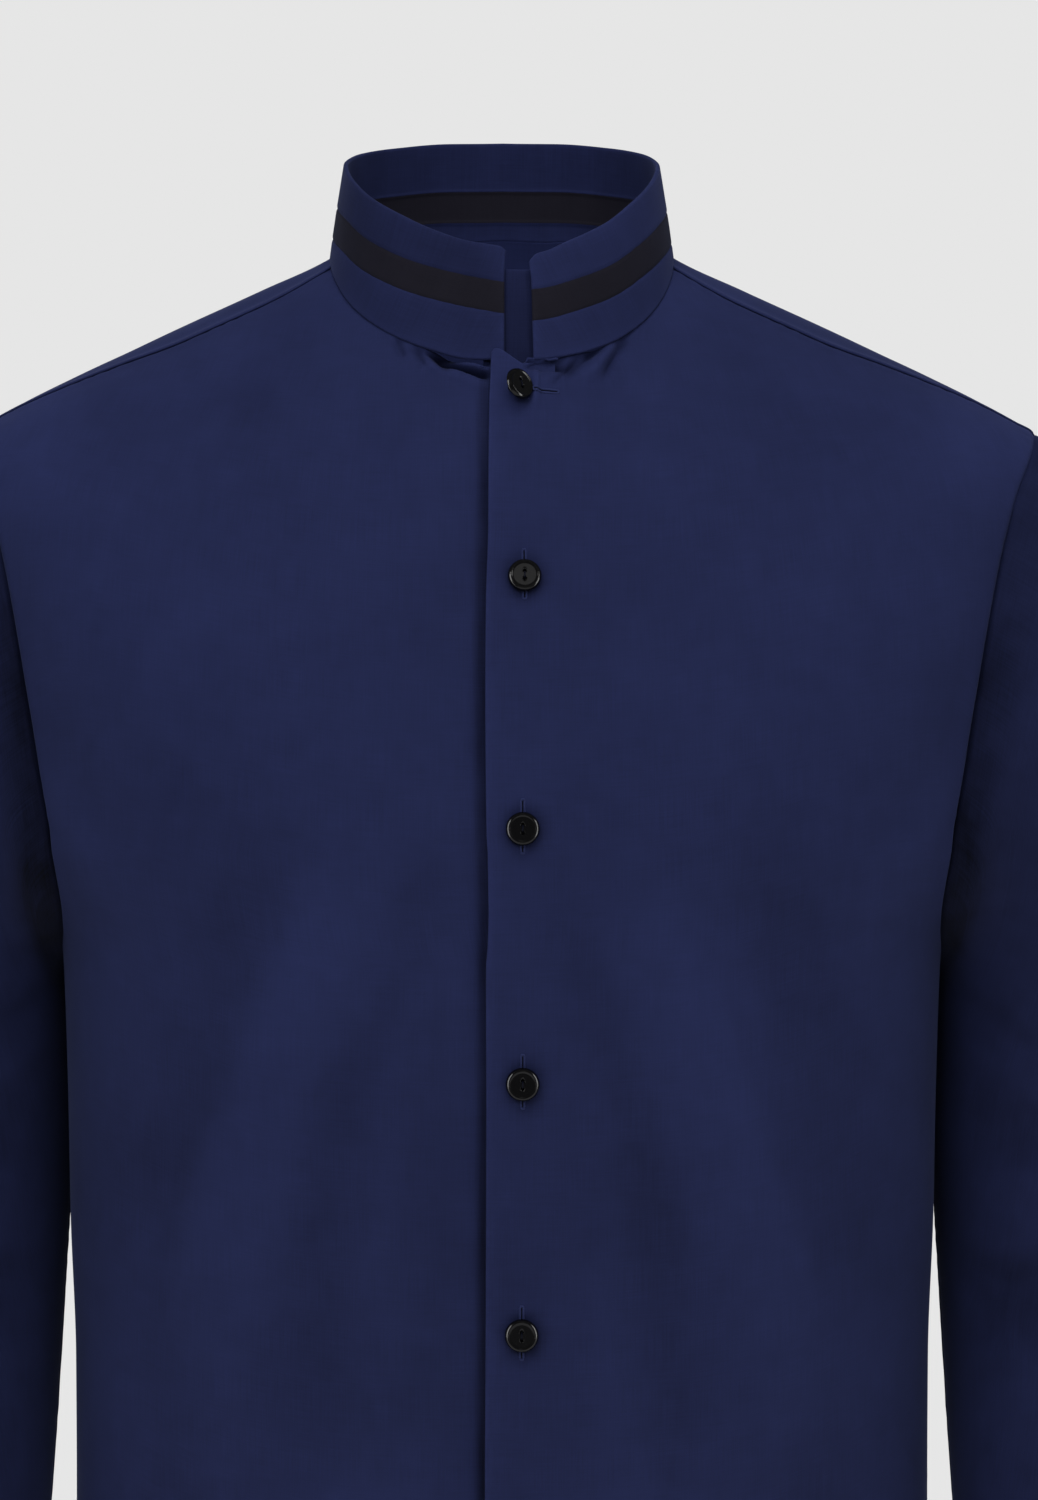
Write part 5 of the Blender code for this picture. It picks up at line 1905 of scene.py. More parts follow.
def from_middle_out(half: Array) -> Array:
    """Columns on both sides of the middle, from those of one side, which fall to the middle."""
    return np.concatenate([-half[:-1], half[::-1]])


def back_columns(form: ShirtForm) -> Array:
    """Columns of the back and the yoke, as shares of the way out, from an armhole to the middle.

    Args:
        form: The shirt.

    Returns:
        Falling shares from 1 to 0.
    """
    outer = spaced(0.150, 3.2 * MM, start=TURNED_STEPS)
    inner = spaced(0.110, 2.2 * MM)
    shoulder = 1 + (form.neck_point_share - 1) * outer
    return np.concatenate([shoulder[:-1], form.neck_point_share * (1 - inner)])


@dataclass
class BackPanel(Panel):
    """The back, from the hem up to the yoke seam."""

    shoulder_length: float = 0.150
    body_length: float = 0.467
    calm_z: Span = (-0.20, -0.11)

    def shape(self) -> Surface:
        """The back's middle surface.

        Returns:
            Rows from the hem up and columns from the wearer's right to the left.
        """
        form = self.form
        columns = from_middle_out(back_columns(form))
        top_a = form.level_angle(columns, form.yoke_z, True)
        t = spaced(self.shoulder_length, 4.0 * MM, end=TURNED_STEPS)
        a = math.pi / 2 + (top_a[None] - math.pi / 2) * t[:, None]
        upper = form.upper_point(columns[None] + 0 * a, a)
        down = 1 - spaced(self.body_length, 5.0 * MM, start=HEM_STEPS)
        levels = levels_up(form, columns, form.back_hem_z, down)
        lower = form.lower_point(columns[None] + 0 * levels, levels, 1)
        surface = Surface(np.vstack([lower[:-1], upper]), -1)
        x, z = surface.points[..., 0], surface.points[..., 2]
        calm = (1 - np.abs(columns[None]) ** 6) * (1 - smoothstep(z, *self.calm_z))
        surface.fold_and_painted_shade(crease_height(x, z, BACK_FOLDS) * calm)
        surface.fold_and_painted_shade(crease_height(x, z, BACK_CREASES))
        surface.stitch_line(Side.FIRST_ROW, HEM_STITCHES)
        for side in (Side.FIRST_COLUMN, Side.LAST_COLUMN, Side.LAST_ROW):
            self.seams.sew(surface, side)
        return surface

    def cut(self) -> WallCut:
        """Only the hem is turned."""
        return WallCut(turned={Side.FIRST_ROW: True})


@dataclass
class Yoke(Panel):
    """The shoulder yoke, from the seam across the back, over the shoulders to their front seams."""

    grain: Grain = Grain.ALONG
    depth: float = 0.105
    ridge_height: float = 0.7 * MM
    ridge_width: float = 2.4 * MM
    # painted highlight along the yoke's edge at the shoulder seams
    shine: float = 0.9
    shine_at: float = 3 * MM
    shine_width: float = 2.5 * MM
    neck_reach: float = 0.8 * MM

    def shape(self) -> Surface:
        """The yoke's middle surface.

        Returns:
            Rows from the back seam to the front, and columns from the wearer's right to the left.
        """
        form = self.form
        half = back_columns(form)
        columns = from_middle_out(half)
        outer = half >= form.neck_point_share - 1e-9
        along = np.clip((1 - half) / (1 - form.neck_point_share), 0, 1)
        inward = np.clip(1 - half / form.neck_point_share, 0, 1)
        turn = form.neck_point_angle + (math.pi - form.neck_point_angle) * inward
        neck_u, neck_a = form.neck_seam(turn)
        point_u = float(neck_u[outer][-1])
        seam_u, seam_a = form.shoulder_seam(1 + (point_u - 1) * along)
        top_u = from_middle_out(np.where(outer, seam_u, neck_u))
        top_a = np.where(outer, seam_a, neck_a)
        top_a = np.concatenate([top_a[:-1], top_a[::-1]])
        low_a = form.level_angle(columns, form.yoke_z, True)
        t = spaced(self.depth, 2.0 * MM, start=TURNED_STEPS, end=TURNED_STEPS)[:, None]
        u = (1 - t) * columns[None] + t * top_u[None]
        a = (1 - t) * low_a[None] + t * top_a[None]
        surface = Surface(form.upper_point(u, a), -1)
        x, y = surface.points[..., 0], surface.points[..., 1]
        surface.fold_and_painted_shade(crease_height(x, y, YOKE_CREASES))
        shoulder = 1.0 * np.concatenate([outer[:-1], outer[::-1]])
        for side in (Side.FIRST_ROW, Side.FIRST_COLUMN, Side.LAST_COLUMN):
            self.seams.sew(surface, side)
        surface.sink(Side.LAST_ROW, -self.ridge_height, self.ridge_width, shoulder)
        # painted highlight along the yoke's edge
        ridge = surface.beside(Side.LAST_ROW, self.shine_at, self.shine_width)
        surface.shade += self.shine * ridge * shoulder
        surface.reach(Side.LAST_ROW, self.neck_reach)
        return surface


# --- sleeves and cuffs


@dataclass
class Sleeve(Panel):
    """A sleeve, from the armhole to the cuff, sewn together along the underarm."""

    grain: Grain = Grain.ALONG
    side: int = 1
    fold_share: float = 0.3
    crease_share: float = 0.6
    # painted shade on the side that faces the body, at the sleeve's head and below the armhole
    inner_shade: float = 2.6
    head_shade: float = 3.6
    pit_shade: float = 3.4
    pit_fade: float = 17 * MM
    deepest: float = 4.9
    shade_from: float = math.radians(60)
    shade_to: float = math.radians(150)
    head_fade: float = 40 * MM
    dip_depth: float = 1.6 * MM
    dip_width: float = 6 * MM
    dip_low: Span = (-0.27, -0.20)
    dip_high: Span = (-0.13, -0.09)
    blend: float = 5.0
    edge_blend: float = 1.6
    cuff_reach: float = 1.4 * MM
    turn: Array = field(init=False)

    def rings(self) -> Array:
        """Places of the rows along the stations, closest at the armhole and at the cuff.

        Returns:
            Rising numbers of stations.
        """
        start = np.array([0, 0.012, 0.03, 0.055, 0.09, 0.14, 0.2, 0.27, 0.35, 0.44, 0.54])
        last = SLEEVE_STATIONS["number"][-1]
        end = last - np.array([0.9, 0.75, 0.6, 0.45, 0.3, 0.18, 0.1, 0.04, 0])
        return np.concatenate([start, np.arange(0.66, last - 0.95, 0.105), end])

    def ring(self, q: Array, place: Array, depth: Array) -> Array:
        """The sleeve's rings, which turn from the armhole's outline to ellipses further down.

        Args:
            q: Places along the stations.
            place: How far across the first station each column is, as a share.
            depth: How far to the back of it each is, as a share of its half depth.

        Returns:
            A row of points for each place.
        """
        at = {name: SLEEVE_STATIONS.curve(name)(q) for name in SLEEVE_STATIONS.columns}
        shape = smoothstep(q, 0, self.blend)
        wide = (1 - shape) * place + shape * (1 - np.cos(self.turn)) / 2
        deep = (1 - shape) * depth - shape * np.sin(self.turn)
        x = at["inner_x"] + (at["outer_x"] - at["inner_x"]) * wide
        z = at["inner_z"] + (at["outer_z"] - at["inner_z"]) * wide
        y = at["centre_y"] + at["half_depth"] * deep
        return np.stack([x, y, z], axis=-1)

    def shape(self) -> Surface:
        """The sleeve's middle surface.

        Returns:
            Rows from the armhole down, and columns round from the underarm seam by the front.
        """
        edge = self.form.armhole(1, 149)
        first = {name: values[0] for name, values in SLEEVE_STATIONS.columns.items()}
        inner = np.array([first["inner_x"], first["inner_z"]])
        across = np.array([first["outer_x"], first["outer_z"]]) - inner
        place = ((edge[:, [0, 2]] - inner) @ across) / (across @ across)
        depth = edge[:, 1] / first["half_depth"]
        turn = np.arctan2(-depth, 1 - 2 * place)
        turn = np.where(turn < 0, turn + TAU, turn)
        turn[0], turn[-1] = 0, TAU
        self.turn = turn
        q = self.rings()[:, None]
        from_edge = (edge - self.ring(np.zeros((1, 1)), place, depth)[0])[None]
        near_edge = 1 - smoothstep(q, 0, self.edge_blend)
        points = self.ring(q, place, depth) + from_edge * near_edge[..., None]
        surface = Surface(points, -1)
        degrees = np.degrees(turn)[None] + 0 * points[..., 2]
        folds = crease_height(degrees, points[..., 2], SLEEVE_FOLDS, square=False)
        surface.fold_and_painted_shade(folds * self.fold_share)
        creases = crease_height(degrees, points[..., 2], SLEEVE_CREASES, square=False)
        surface.fold_and_painted_shade(creases * self.crease_share)
        surface.points = surface.points * [self.side, 1, 1]
        surface.outward = -self.side
        self.finish_edges(surface, edge[:, 2])
        return surface

    def finish_edges(self, surface: Surface, edge_z: Array) -> None:
        """Adds the seams, and painted shade below the armhole and on the side that faces the body.

        Args:
            surface: The sleeve, which is moved.
            edge_z: The armhole's height at each column.
        """
        for side in (Side.FIRST_ROW, Side.FIRST_COLUMN, Side.LAST_COLUMN):
            self.seams.sew(surface, side)
        below_point = smoothstep(edge_z, *self.dip_low) * (1 - smoothstep(edge_z, *self.dip_high))
        surface.sink(Side.FIRST_ROW, self.dip_depth, self.dip_width, below_point)
        surface.reach(Side.LAST_ROW, self.cuff_reach)
        # painted shade where the body shades the sleeve
        from_inner = np.minimum(self.turn, TAU - self.turn)[None]
        under_arm = 1 - smoothstep(from_inner, self.shade_from, self.shade_to)
        low = 0.45 * smoothstep(-edge_z, 0.12, 0.19) + 0.55 * smoothstep(-edge_z, 0.20, 0.275)
        head = self.head_shade * surface.beside(Side.FIRST_ROW, 0, self.head_fade)
        pit = self.pit_shade * surface.beside(Side.FIRST_ROW, 0, self.pit_fade) * low[None]
        head = head * (0.85 + 0.15 * low[None])
        shade = np.maximum(self.inner_shade * under_arm, head) + pit
        surface.shade = -np.minimum(shade, self.deepest)


@dataclass
class Cuff(Panel):
    """A cuff: a doubled band whose upper end laps over the lower one behind the wrist."""

    grain: Grain = Grain.ALONG
    from_middle: bool = False
    side: int = 1
    girth: float = 0.235
    height: float = 0.061
    thickness: float = 1.6 * MM
    overlap: float = 24 * MM
    overlap_turn: float = math.radians(250)
    step_out: float = 2.6 * MM
    stitches_at: float = 5 * MM

    def shape(self) -> Surface:
        """The cuff's middle surface.

        Returns:
            Rows from the sleeve down, and columns round from the hidden end to the top one.
        """
        lap = self.overlap / (SLEEVE_STATIONS["half_depth"][-1] * 2)
        close = steps_to(0.008, 1.2 * MM)
        share = spaced(self.girth, 2.0 * MM, start=close, end=close)
        turns = self.overlap_turn + (TAU + lap) * share
        end = self.overlap_turn + TAU
        out = smoothstep(turns, end - 0.5, end) * self.step_out
        down = spaced(self.height, 1.6 * MM, start=close, end=close)[:, None]
        ends = CUFF_STATIONS.columns.items()
        at = {name: upper + (lower - upper) * down for name, (upper, lower) in ends}
        wide = (1 - np.cos(turns)) / 2
        x = at["inner_x"] + (at["outer_x"] - at["inner_x"]) * wide - out * np.cos(turns)
        z = at["inner_z"] + (at["outer_z"] - at["inner_z"]) * wide
        y = at["centre_y"] - (at["half_depth"] + out) * np.sin(turns)
        surface = Surface(np.stack([x, y, z], axis=-1) * [self.side, 1, 1], -self.side)
        for side in (Side.FIRST_ROW, Side.LAST_ROW, Side.LAST_COLUMN):
            surface.stitch_line(side, self.stitches_at, 0.2 * MM)
        return surface

    def cut(self) -> WallCut:
        """Both of its faces stand half its thickness away, and all its sides are turned."""
        half = self.thickness / 2
        return WallCut(half, -half, {side: True for side in Side})


# --- the collar


class BandLine(Enum):
    """The lines that part the band's strips, from the top down."""

    RIM = 0
    STRIPE_TOP = 1
    STRIPE_LOW = 2
    SEAM = 3


@dataclass
class CollarStrip(Panel):
    """One of the band's three strips, between two lines at set distances below its rim."""

    grain: Grain = Grain.ALONG
    low: BandLine = BandLine.SEAM
    high: BandLine = BandLine.RIM
    # painted shade on the band's right and left front and on its back
    right_shade: float = 0.0
    left_shade: float = 0.0
    back_shade: float = 0.0
    length: float = 0.425
    height: float = 0.0145
    half: float = 1.0 * MM
    join_depth: float = 0.45 * MM
    join_width: float = 0.8 * MM
    join_ripple: float = 0.08 * MM
    join_fade: float = 3 * MM
    low_pitch: float = 6 * MM
    high_pitch: float = 6.5 * MM
    slow_wave: float = 0.25 * MM
    quick_wave: float = 0.15 * MM
    seam_gap: float = 0.4 * MM
    left_corner: float = 4.0 * MM
    right_corner: float = 2.4 * MM

    def shape(self) -> Surface:
        """The strip's middle surface: straight lines from the collar seam to the rim.

        Returns:
            Rows from its lower edge up, and columns round from the wearer's left end.
        """
        form = self.form
        first = math.asin(form.collar_left_end_x / form.neck_half_width)
        last = TAU + math.asin(form.collar_right_end_x / form.neck_half_width)
        close = steps_to(0.012, 0.7 * MM)
        turns = first + (last - first) * spaced(self.length, 1.5 * MM, start=close, end=close)
        out = np.stack([np.sin(turns), -np.cos(turns), 0 * turns], axis=-1)
        top = form.collar_top(turns) + out * form.collar_lift(turns)[:, None]
        base = form.collar_base(turns, lifted=True)
        height = np.linalg.norm(top - base, axis=-1)
        rise = (top - base) / height[:, None]
        strip = form.rim_value(turns, "strip")
        lines = {
            BandLine.RIM: 0 * turns,
            BandLine.STRIPE_TOP: strip,
            BandLine.STRIPE_LOW: strip + form.stripe_width,
            BandLine.SEAM: height - self.seam_gap,
        }
        low, high = lines[self.low], lines[self.high]
        close = TURNED_STEPS[:7]
        t = spaced(self.height, 1.1 * MM, start=close, end=close)[:, None]
        below = low[None] + (high - low)[None] * t
        surface = Surface(top[None] - rise[None] * below[..., None], 1)
        if self.high is BandLine.RIM:
            self.round_corners(surface)
        self.wave(surface, turns)
        # painted shade, different at the band's right and left front and at its back
        to_left = smoothstep(np.sin(turns), -0.25, 0.25)
        to_back = smoothstep(-np.cos(turns), -0.25, 0.25)
        front = self.right_shade + (self.left_shade - self.right_shade) * to_left
        surface.shade -= (front + (self.back_shade - front) * to_back)[None]
        if self.low is not BandLine.SEAM:
            surface.sink(Side.FIRST_ROW, self.join_depth, self.join_width)
            surface.pucker(Side.FIRST_ROW, self.join_ripple, self.low_pitch, self.join_fade)
        if self.high is not BandLine.RIM:
            surface.sink(Side.LAST_ROW, self.join_depth, self.join_width)
            surface.pucker(Side.LAST_ROW, self.join_ripple, self.high_pitch, self.join_fade)
        return surface

    def round_corners(self, surface: Surface) -> None:
        """Lowers the rim beside its two ends along a quarter circle.

        Args:
            surface: The strip, which is moved.
        """
        high = smoothstep(np.linspace(0, 1, len(surface.points)), 0.2, 1.0)[:, None]
        ends = {Side.FIRST_COLUMN: self.left_corner, Side.LAST_COLUMN: self.right_corner}
        for side, radius in ends.items():
            surface.points[..., 2] -= quarter_round(surface.run_from(side), radius) * high

    def wave(self, surface: Surface, turns: Array) -> None:
        """Lets the band bow in and out a little, differently on its two sides.

        Args:
            surface: The strip, which is moved.
            turns: Angle of each column.
        """
        z = surface.points[..., 2]
        slow = np.sin(3.0 * turns + 0.6) + 0.6 * np.sin(7.0 * turns + 2.0)
        lean = np.sin(90 * z + 2.0 * np.sin(2 * turns)[None])
        surface.lift(self.slow_wave * slow[None] + self.quick_wave * lean)

    def cut(self) -> WallCut:
        """The ends are turned, and so are the rim and the lower edge on the strips that have them.

        Returns:
            The wall's faces and turned sides.
        """
        turned = {
            Side.FIRST_COLUMN: True,
            Side.LAST_COLUMN: True,
            Side.LAST_ROW: self.high is BandLine.RIM,
            Side.FIRST_ROW: self.low is BandLine.SEAM,
        }
        return WallCut(self.half, -self.half, turned)


@dataclass
class CollarTab(Panel):
    """The narrow underlap that closes the gap behind the two ends of the band."""

    right_x: float = -0.0075
    left_x: float = 0.0205
    bottom_z: float = -0.0520
    top_z: float = -0.0078
    height: float = 0.044
    behind: float = 3.5 * MM
    rise: float = 1.2 * MM
    # painted shade on the tab, in the shadow of the band's ends, darker towards its foot
    shade: float = 2.0
    low_shade: float = 0.8

    def shape(self) -> Surface:
        """The tab's middle surface.

        Returns:
            Rows from the bottom up, and columns from the wearer's right to the left.
        """
        form, close = self.form, TURNED_STEPS[:6]
        wide = spaced(self.left_x - self.right_x, 1.0 * MM, start=close, end=close)
        x = self.right_x + (self.left_x - self.right_x) * wide
        turns = np.arcsin(x / form.neck_half_width)
        base, top = form.collar_base(turns, lifted=False), form.collar_top(turns)
        base = base + unit(top - base) * self.rise
        top[:, 2] = (COLLAR_RIM["right_z"][0] + COLLAR_RIM["left_z"][0]) / 2
        up = spaced(self.height, 1.2 * MM, start=close, end=close)
        levels = self.bottom_z + (self.top_z - self.bottom_z) * up
        share = (levels[:, None] - base[None, :, 2]) / (top[:, 2] - base[:, 2])[None]
        points = base[None] + (top - base)[None] * share[..., None]
        points[..., 0] = x
        surface = Surface(points + [0, self.behind, 0], 1)
        # painted shade
        surface.shade -= self.shade + self.low_shade * smoothstep(-levels, 0.020, 0.042)[:, None]
        return surface

    def cut(self) -> WallCut:
        """All its sides are turned."""
        return WallCut(CLOTH_FACE, -CLOTH_FACE, {side: True for side in Side})


# --- buttons and sewing


class Pose(NamedTuple):
    """Where a button is: the middle of its back, and its across, up and out directions."""

    origin: Array
    across: Array
    up: Array
    out: Array

    def place(self, local: Array) -> Array:
        """Points given across, up and out from the origin, in the shirt's space."""
        return self.origin + local @ np.stack([self.across, self.up, self.out])


def button_pose(node: str, outward: Array) -> Pose:
    """Finds where the frame's own button is, from its points.

    They spread least along the button's axis, and their middle lies on it.

    Args:
        node: The frame's node.
        outward: Roughly which way it faces.

    Returns:
        The pose.
    """
    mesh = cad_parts[node].data
    places = np.zeros(len(mesh.vertices) * 3)
    mesh.vertices.foreach_get("co", places)
    places = np.unique(np.round(places.reshape(-1, 3), 7), axis=0)
    middle = (places.min(axis=0) + places.max(axis=0)) / 2
    _, _, ways = np.linalg.svd(places - places.mean(axis=0))
    out = ways[2] * np.sign(ways[2] @ outward)
    up = unit(np.array([0.0, 0.0, 1.0]) - out * out[2])
    across = np.cross(up, out)
    flat = (places - middle) @ np.stack([across, up]).T
    shift = (flat.min(axis=0) + flat.max(axis=0)) / 2
    back = ((places - middle) @ out).min()
    return Pose(middle + shift @ np.stack([across, up]) + out * back, across, up, out)


@dataclass
class Button:
    """A round button with a raised rim, a shallow dish and two holes, sewn on with thread."""

    name: str
    node: str
    pose: Pose
    radius: float = 6.8 * MM
    height: float = 3.0 * MM
    dish: float = 0.28 * MM
    hole_radius: float = 0.74 * MM
    hole_spacing: float = 3.0 * MM
    hole_edge: Span = (-0.16 * MM, 0.14 * MM)
    hole_depth: float = 2.1 * MM
    thread_offsets: Span = (-0.17 * MM, 0.18 * MM)
    thread_size: Span = (0.13 * MM, 0.11 * MM)
    shank_radius: float = 1.5 * MM
    sides: int = 80
    seat: float = 0.2 * MM

    def profile(self) -> tuple[Array, Array]:
        """The button's outline, from the middle of the dish out over the rim to the back.

        Returns:
            Radii and heights.
        """
        inner = np.concatenate([[0, 0.3, 0.6], np.arange(0.72, 2.4, 0.12), [2.7, 3.2, 3.8, 4.4]])
        rim = np.concatenate([np.arange(4.7, 6.5, 0.13), [6.54, 6.62, 6.72, 6.8]])
        radii = np.concatenate([inner, rim])
        face = self.height - self.dish + BUTTON_FACE.curve("rise")(radii) * MM
        radii = np.concatenate([radii, BUTTON_BACK["radius"]]) * MM
        return radii, np.concatenate([face, BUTTON_BACK["height"] * MM])

    def body(self) -> MeshData:
        """The button's own mesh: the profile turned round, with two dimples for the holes.

        Returns:
            The mesh.
        """
        radii, heights = self.profile()
        angle = np.linspace(0, TAU, self.sides + 1)
        x, y = radii[:, None] * np.cos(angle), radii[:, None] * np.sin(angle)
        top = int(np.argmax(radii))
        height = np.repeat(heights[:, None], len(angle), axis=1)
        for side in (-1, 1):
            away = np.hypot(x[:top], y[:top] - side * self.hole_spacing / 2)
            height[:top] -= self.hole_depth * (1 - smoothstep(away - self.hole_radius, *self.hole_edge))
        local = np.stack([x, y, height], axis=-1)
        index = np.arange(len(radii) * len(angle)).reshape(len(radii), len(angle))
        index[:, -1] = index[:, 0]
        index[0], index[-1] = index[0, 0], index[-1, 0]
        around = radii[:, None] * np.ones_like(angle)
        threads = np.stack([angle[None] * around, around], axis=-1).reshape(-1, 2)
        return MeshData(self.pose.place(local.reshape(-1, 3)), [grid_quads(index)[:, ::-1]], threads)

    def sewing(self, reach: float) -> MeshData:
        """The threads across the holes, and the shank behind the button.

        Args:
            reach: How far behind the button the cloth is.

        Returns:
            Their mesh.
        """
        floor = self.height - self.dish
        way = np.linspace(-1, 1, 15)
        strands = []
        for offset in self.thread_offsets:
            y = way * (self.hole_spacing / 2 + 0.1 * MM)
            arch = 0.10 * MM - 1.9 * MM * np.abs(way) ** 5
            x = offset * (1 - 0.35 * np.abs(way) ** 3)
            path = self.pose.place(np.stack([x, y, floor + arch], axis=-1))
            strands.append(tube(path, self.pose.out, *self.thread_size, 7))
        depth = np.linspace(0.6 * MM, -reach, 6)
        path = self.pose.place(np.stack([0 * depth, 0 * depth, depth], axis=-1))
        wide = self.shank_radius + 0.25 * MM * np.cos(np.linspace(0, TAU, 6))
        strands.append(tube(path, self.pose.up, wide, wide * 0.8, 10))
        return join(strands)

    def build(self, shop: Workshop, finishes: Finishes, probe: SurfaceProbe) -> None:
        """Makes the button and its sewing, which reaches into the cloth behind it.

        Args:
            shop: Where they are made.
            finishes: The materials.
            probe: Finds the cloth behind the button.
        """
        spot, _ = probe.drop(self.pose.origin[None])
        reach = float(np.linalg.norm(spot[0] - self.pose.origin)) + self.seat
        body, sewing = self.body(), self.sewing(reach)
        disc = shop.piece(f"{self.name}_disc", body, finishes.button, "black_button", self.node)
        shop.glossy.objects.link(disc)
        shop.piece(f"{self.name}_sewing", sewing, finishes.dark_thread, "navy_poplin")


@dataclass
class SurfaceProbe:
    """Finds points on the outer face of a panel."""

    surface: Surface
    stand: float

    def __post_init__(self) -> None:
        """Keeps the outer face's points and normals."""
        normals = self.surface.normals()
        self.points = (self.surface.points + normals * self.stand).reshape(-1, 3)
        self.out = normals.reshape(-1, 3)

    def drop(self, places: Array) -> tuple[Array, Array]:
        """Moves places straight onto the face, which is taken as flat round its nearest point.

        Args:
            places: Places near the face.

        Returns:
            Points on the face and its normals there.
        """
        apart = self.points[None] - places[:, None]
        nearest = np.argmin((apart**2).sum(axis=-1), axis=1)
        base, out = self.points[nearest], self.out[nearest]
        off = ((places - base) * out).sum(axis=-1, keepdims=True)
        return places - out * off, out


# The ends of the top buttonhole, of the others from their button's middle, and of the cuffs'
# along the wrist.
TOP_BUTTONHOLE = np.array([[0.0128, 0, -0.0566], [0.0239, 0, -0.0566]])
BUTTONHOLE = np.array([[0, 0, 0.0117], [0, 0, -0.0098]])
CUFF_BUTTONHOLE = np.array([[-0.0095], [0.0115]])


@dataclass
class Buttonhole:
    """A worked buttonhole: two satin beads beside a slit, with a bar at each end, and a near-black
    strip in the slit for its painted shadow.
    """

    name: str
    start: Array
    end: Array
    probe: SurfaceProbe
    apart: float = 1.35 * MM
    bead: float = 0.95 * MM
    height: float = 0.40 * MM
    points: int = 56
    unevenness: float = 0.08
    bar_radius: float = 0.5 * MM
    bar_share: float = 0.42
    slit_height: float = 0.12 * MM

    def line(self, aside: float, first: float, last: float, count: int) -> tuple[Array, Array]:
        """A line along the slit, on the cloth.

        Args:
            aside: How far beside the slit.
            first: Where it starts, as a share of the slit's length.
            last: Where it ends.
            count: How many points.

        Returns:
            Points and normals.
        """
        share = np.linspace(first, last, count)[:, None]
        path = self.start + (self.end - self.start) * share
        _, out = self.probe.drop(path)
        across = unit(np.cross(unit(self.end - self.start), out.mean(axis=0)))
        return self.probe.drop(path + across * aside)

    def rounded(self, count: int, ends: float = 0.12) -> Array:
        """Widths along a bead, closing at both of its ends as a half circle does.

        Args:
            count: How many.
            ends: The share of its length that each end takes.

        Returns:
            Shares of the full width.
        """
        share = np.linspace(0, 1, count)
        near = np.clip(np.minimum(share, 1 - share) / ends, 0, 1)
        return np.maximum(np.sqrt(1 - (1 - near) ** 2), 0.05)

    def build(self, shop: Workshop, finishes: Finishes) -> None:
        """Makes the beads, and the near-black strip in the slit that paints its shadow.

        Args:
            shop: Where they are made.
            finishes: The materials.
        """
        beads = []
        swell = self.rounded(self.points, 0.05)
        wobble = 1 + self.unevenness * np.sin(np.linspace(0, 61, self.points))
        for side in (-1, 1):
            path, out = self.line(side * self.apart / 2, 0, 1, self.points)
            beads.append(tube(path, out, self.bead / 2 * swell * wobble, self.height * swell, 10))
        _, face = self.probe.drop(self.start[None])
        across = unit(np.cross(unit(self.end - self.start), face[0]))
        bar = np.linspace(-1, 1, 12)[:, None] * (self.apart + self.bead) * self.bar_share
        swell = self.rounded(len(bar), 0.3)
        for end in (self.start, self.end):
            path, out = self.probe.drop(end + across * bar)
            beads.append(tube(path, out, self.bar_radius * swell, 1.1 * self.height * swell, 8))
        shop.piece(f"{self.name}_beads", join(beads), finishes.pale_thread, "navy_poplin")
        # a near-black strip on the cloth in the slit: painted shadow
        path, out = self.line(0, 0.03, 0.97, 40)
        gap = (self.apart - self.bead) / 2 + 0.05 * MM
        slit = tube(path, out, gap, self.slit_height, 8)
        shop.piece(f"{self.name}_slit", slit, finishes.slit, "navy_poplin")


@dataclass
class StitchRow:
    """A row of lockstitches: short capsules, each a little sunk at its ends."""

    length: float = 2.3 * MM
    gap: float = 0.6 * MM
    radius: float = 0.17 * MM

    def mesh(self, path: Array, out: Array) -> MeshData:
        """Sets stitches along a line on the cloth.

        Args:
            path: Points along it.
            out: The cloth's normals there.

        Returns:
            The stitches as one mesh.
        """
        run = run_along(path)
        pitch = self.length + self.gap
        middles = np.arange(pitch / 2, run[-1] - pitch / 2, pitch)
        at = points_at(middles, run, path)
        up = unit(points_at(middles, run, out))
        ahead = unit(points_at(middles + 0.5 * MM, run, path) - at)
        arc = np.array([[-0.5, 0, -0.5], [0, 0, 0.5], [0.5, 0, -0.5]])
        arc = arc * [self.length, 1, self.radius]
        shape = tube(arc, np.array([0.0, 0.0, 1.0]), self.radius, self.radius, 6)
        axes = np.stack([ahead, np.cross(ahead, up), up], axis=1)
        points = at[:, None] + np.einsum("pk,nkc->npc", shape.points, axes)
        shift = np.arange(len(at))[:, None, None] * len(shape.points)
        faces = [(block[None] + shift).reshape(-1, block.shape[1]) for block in shape.faces]
        return MeshData(points.reshape(-1, 3), faces, np.tile(shape.threads, (len(at), 1)))


# --- the studio


@dataclass(frozen=True)
class SoftLight:
    """A square soft light aimed at the shirt. A glint shines on the glossy pieces alone."""

    name: str
    place: Triple
    size: Span
    power: float
    aim: Triple = (0.0, 0.0, -0.25)
    glint: bool = False


def on_stage(name: str, data: bpy.types.ID) -> bpy.types.Object:
    """Makes an object that is no piece of the shirt, and puts it in the scene.

    Args:
        name: Its name.
        data: Its mesh, light or camera.

    Returns:
        The object.
    """
    made = bpy.data.objects.new(name, data)
    bpy.context.scene.collection.objects.link(made)
    return made


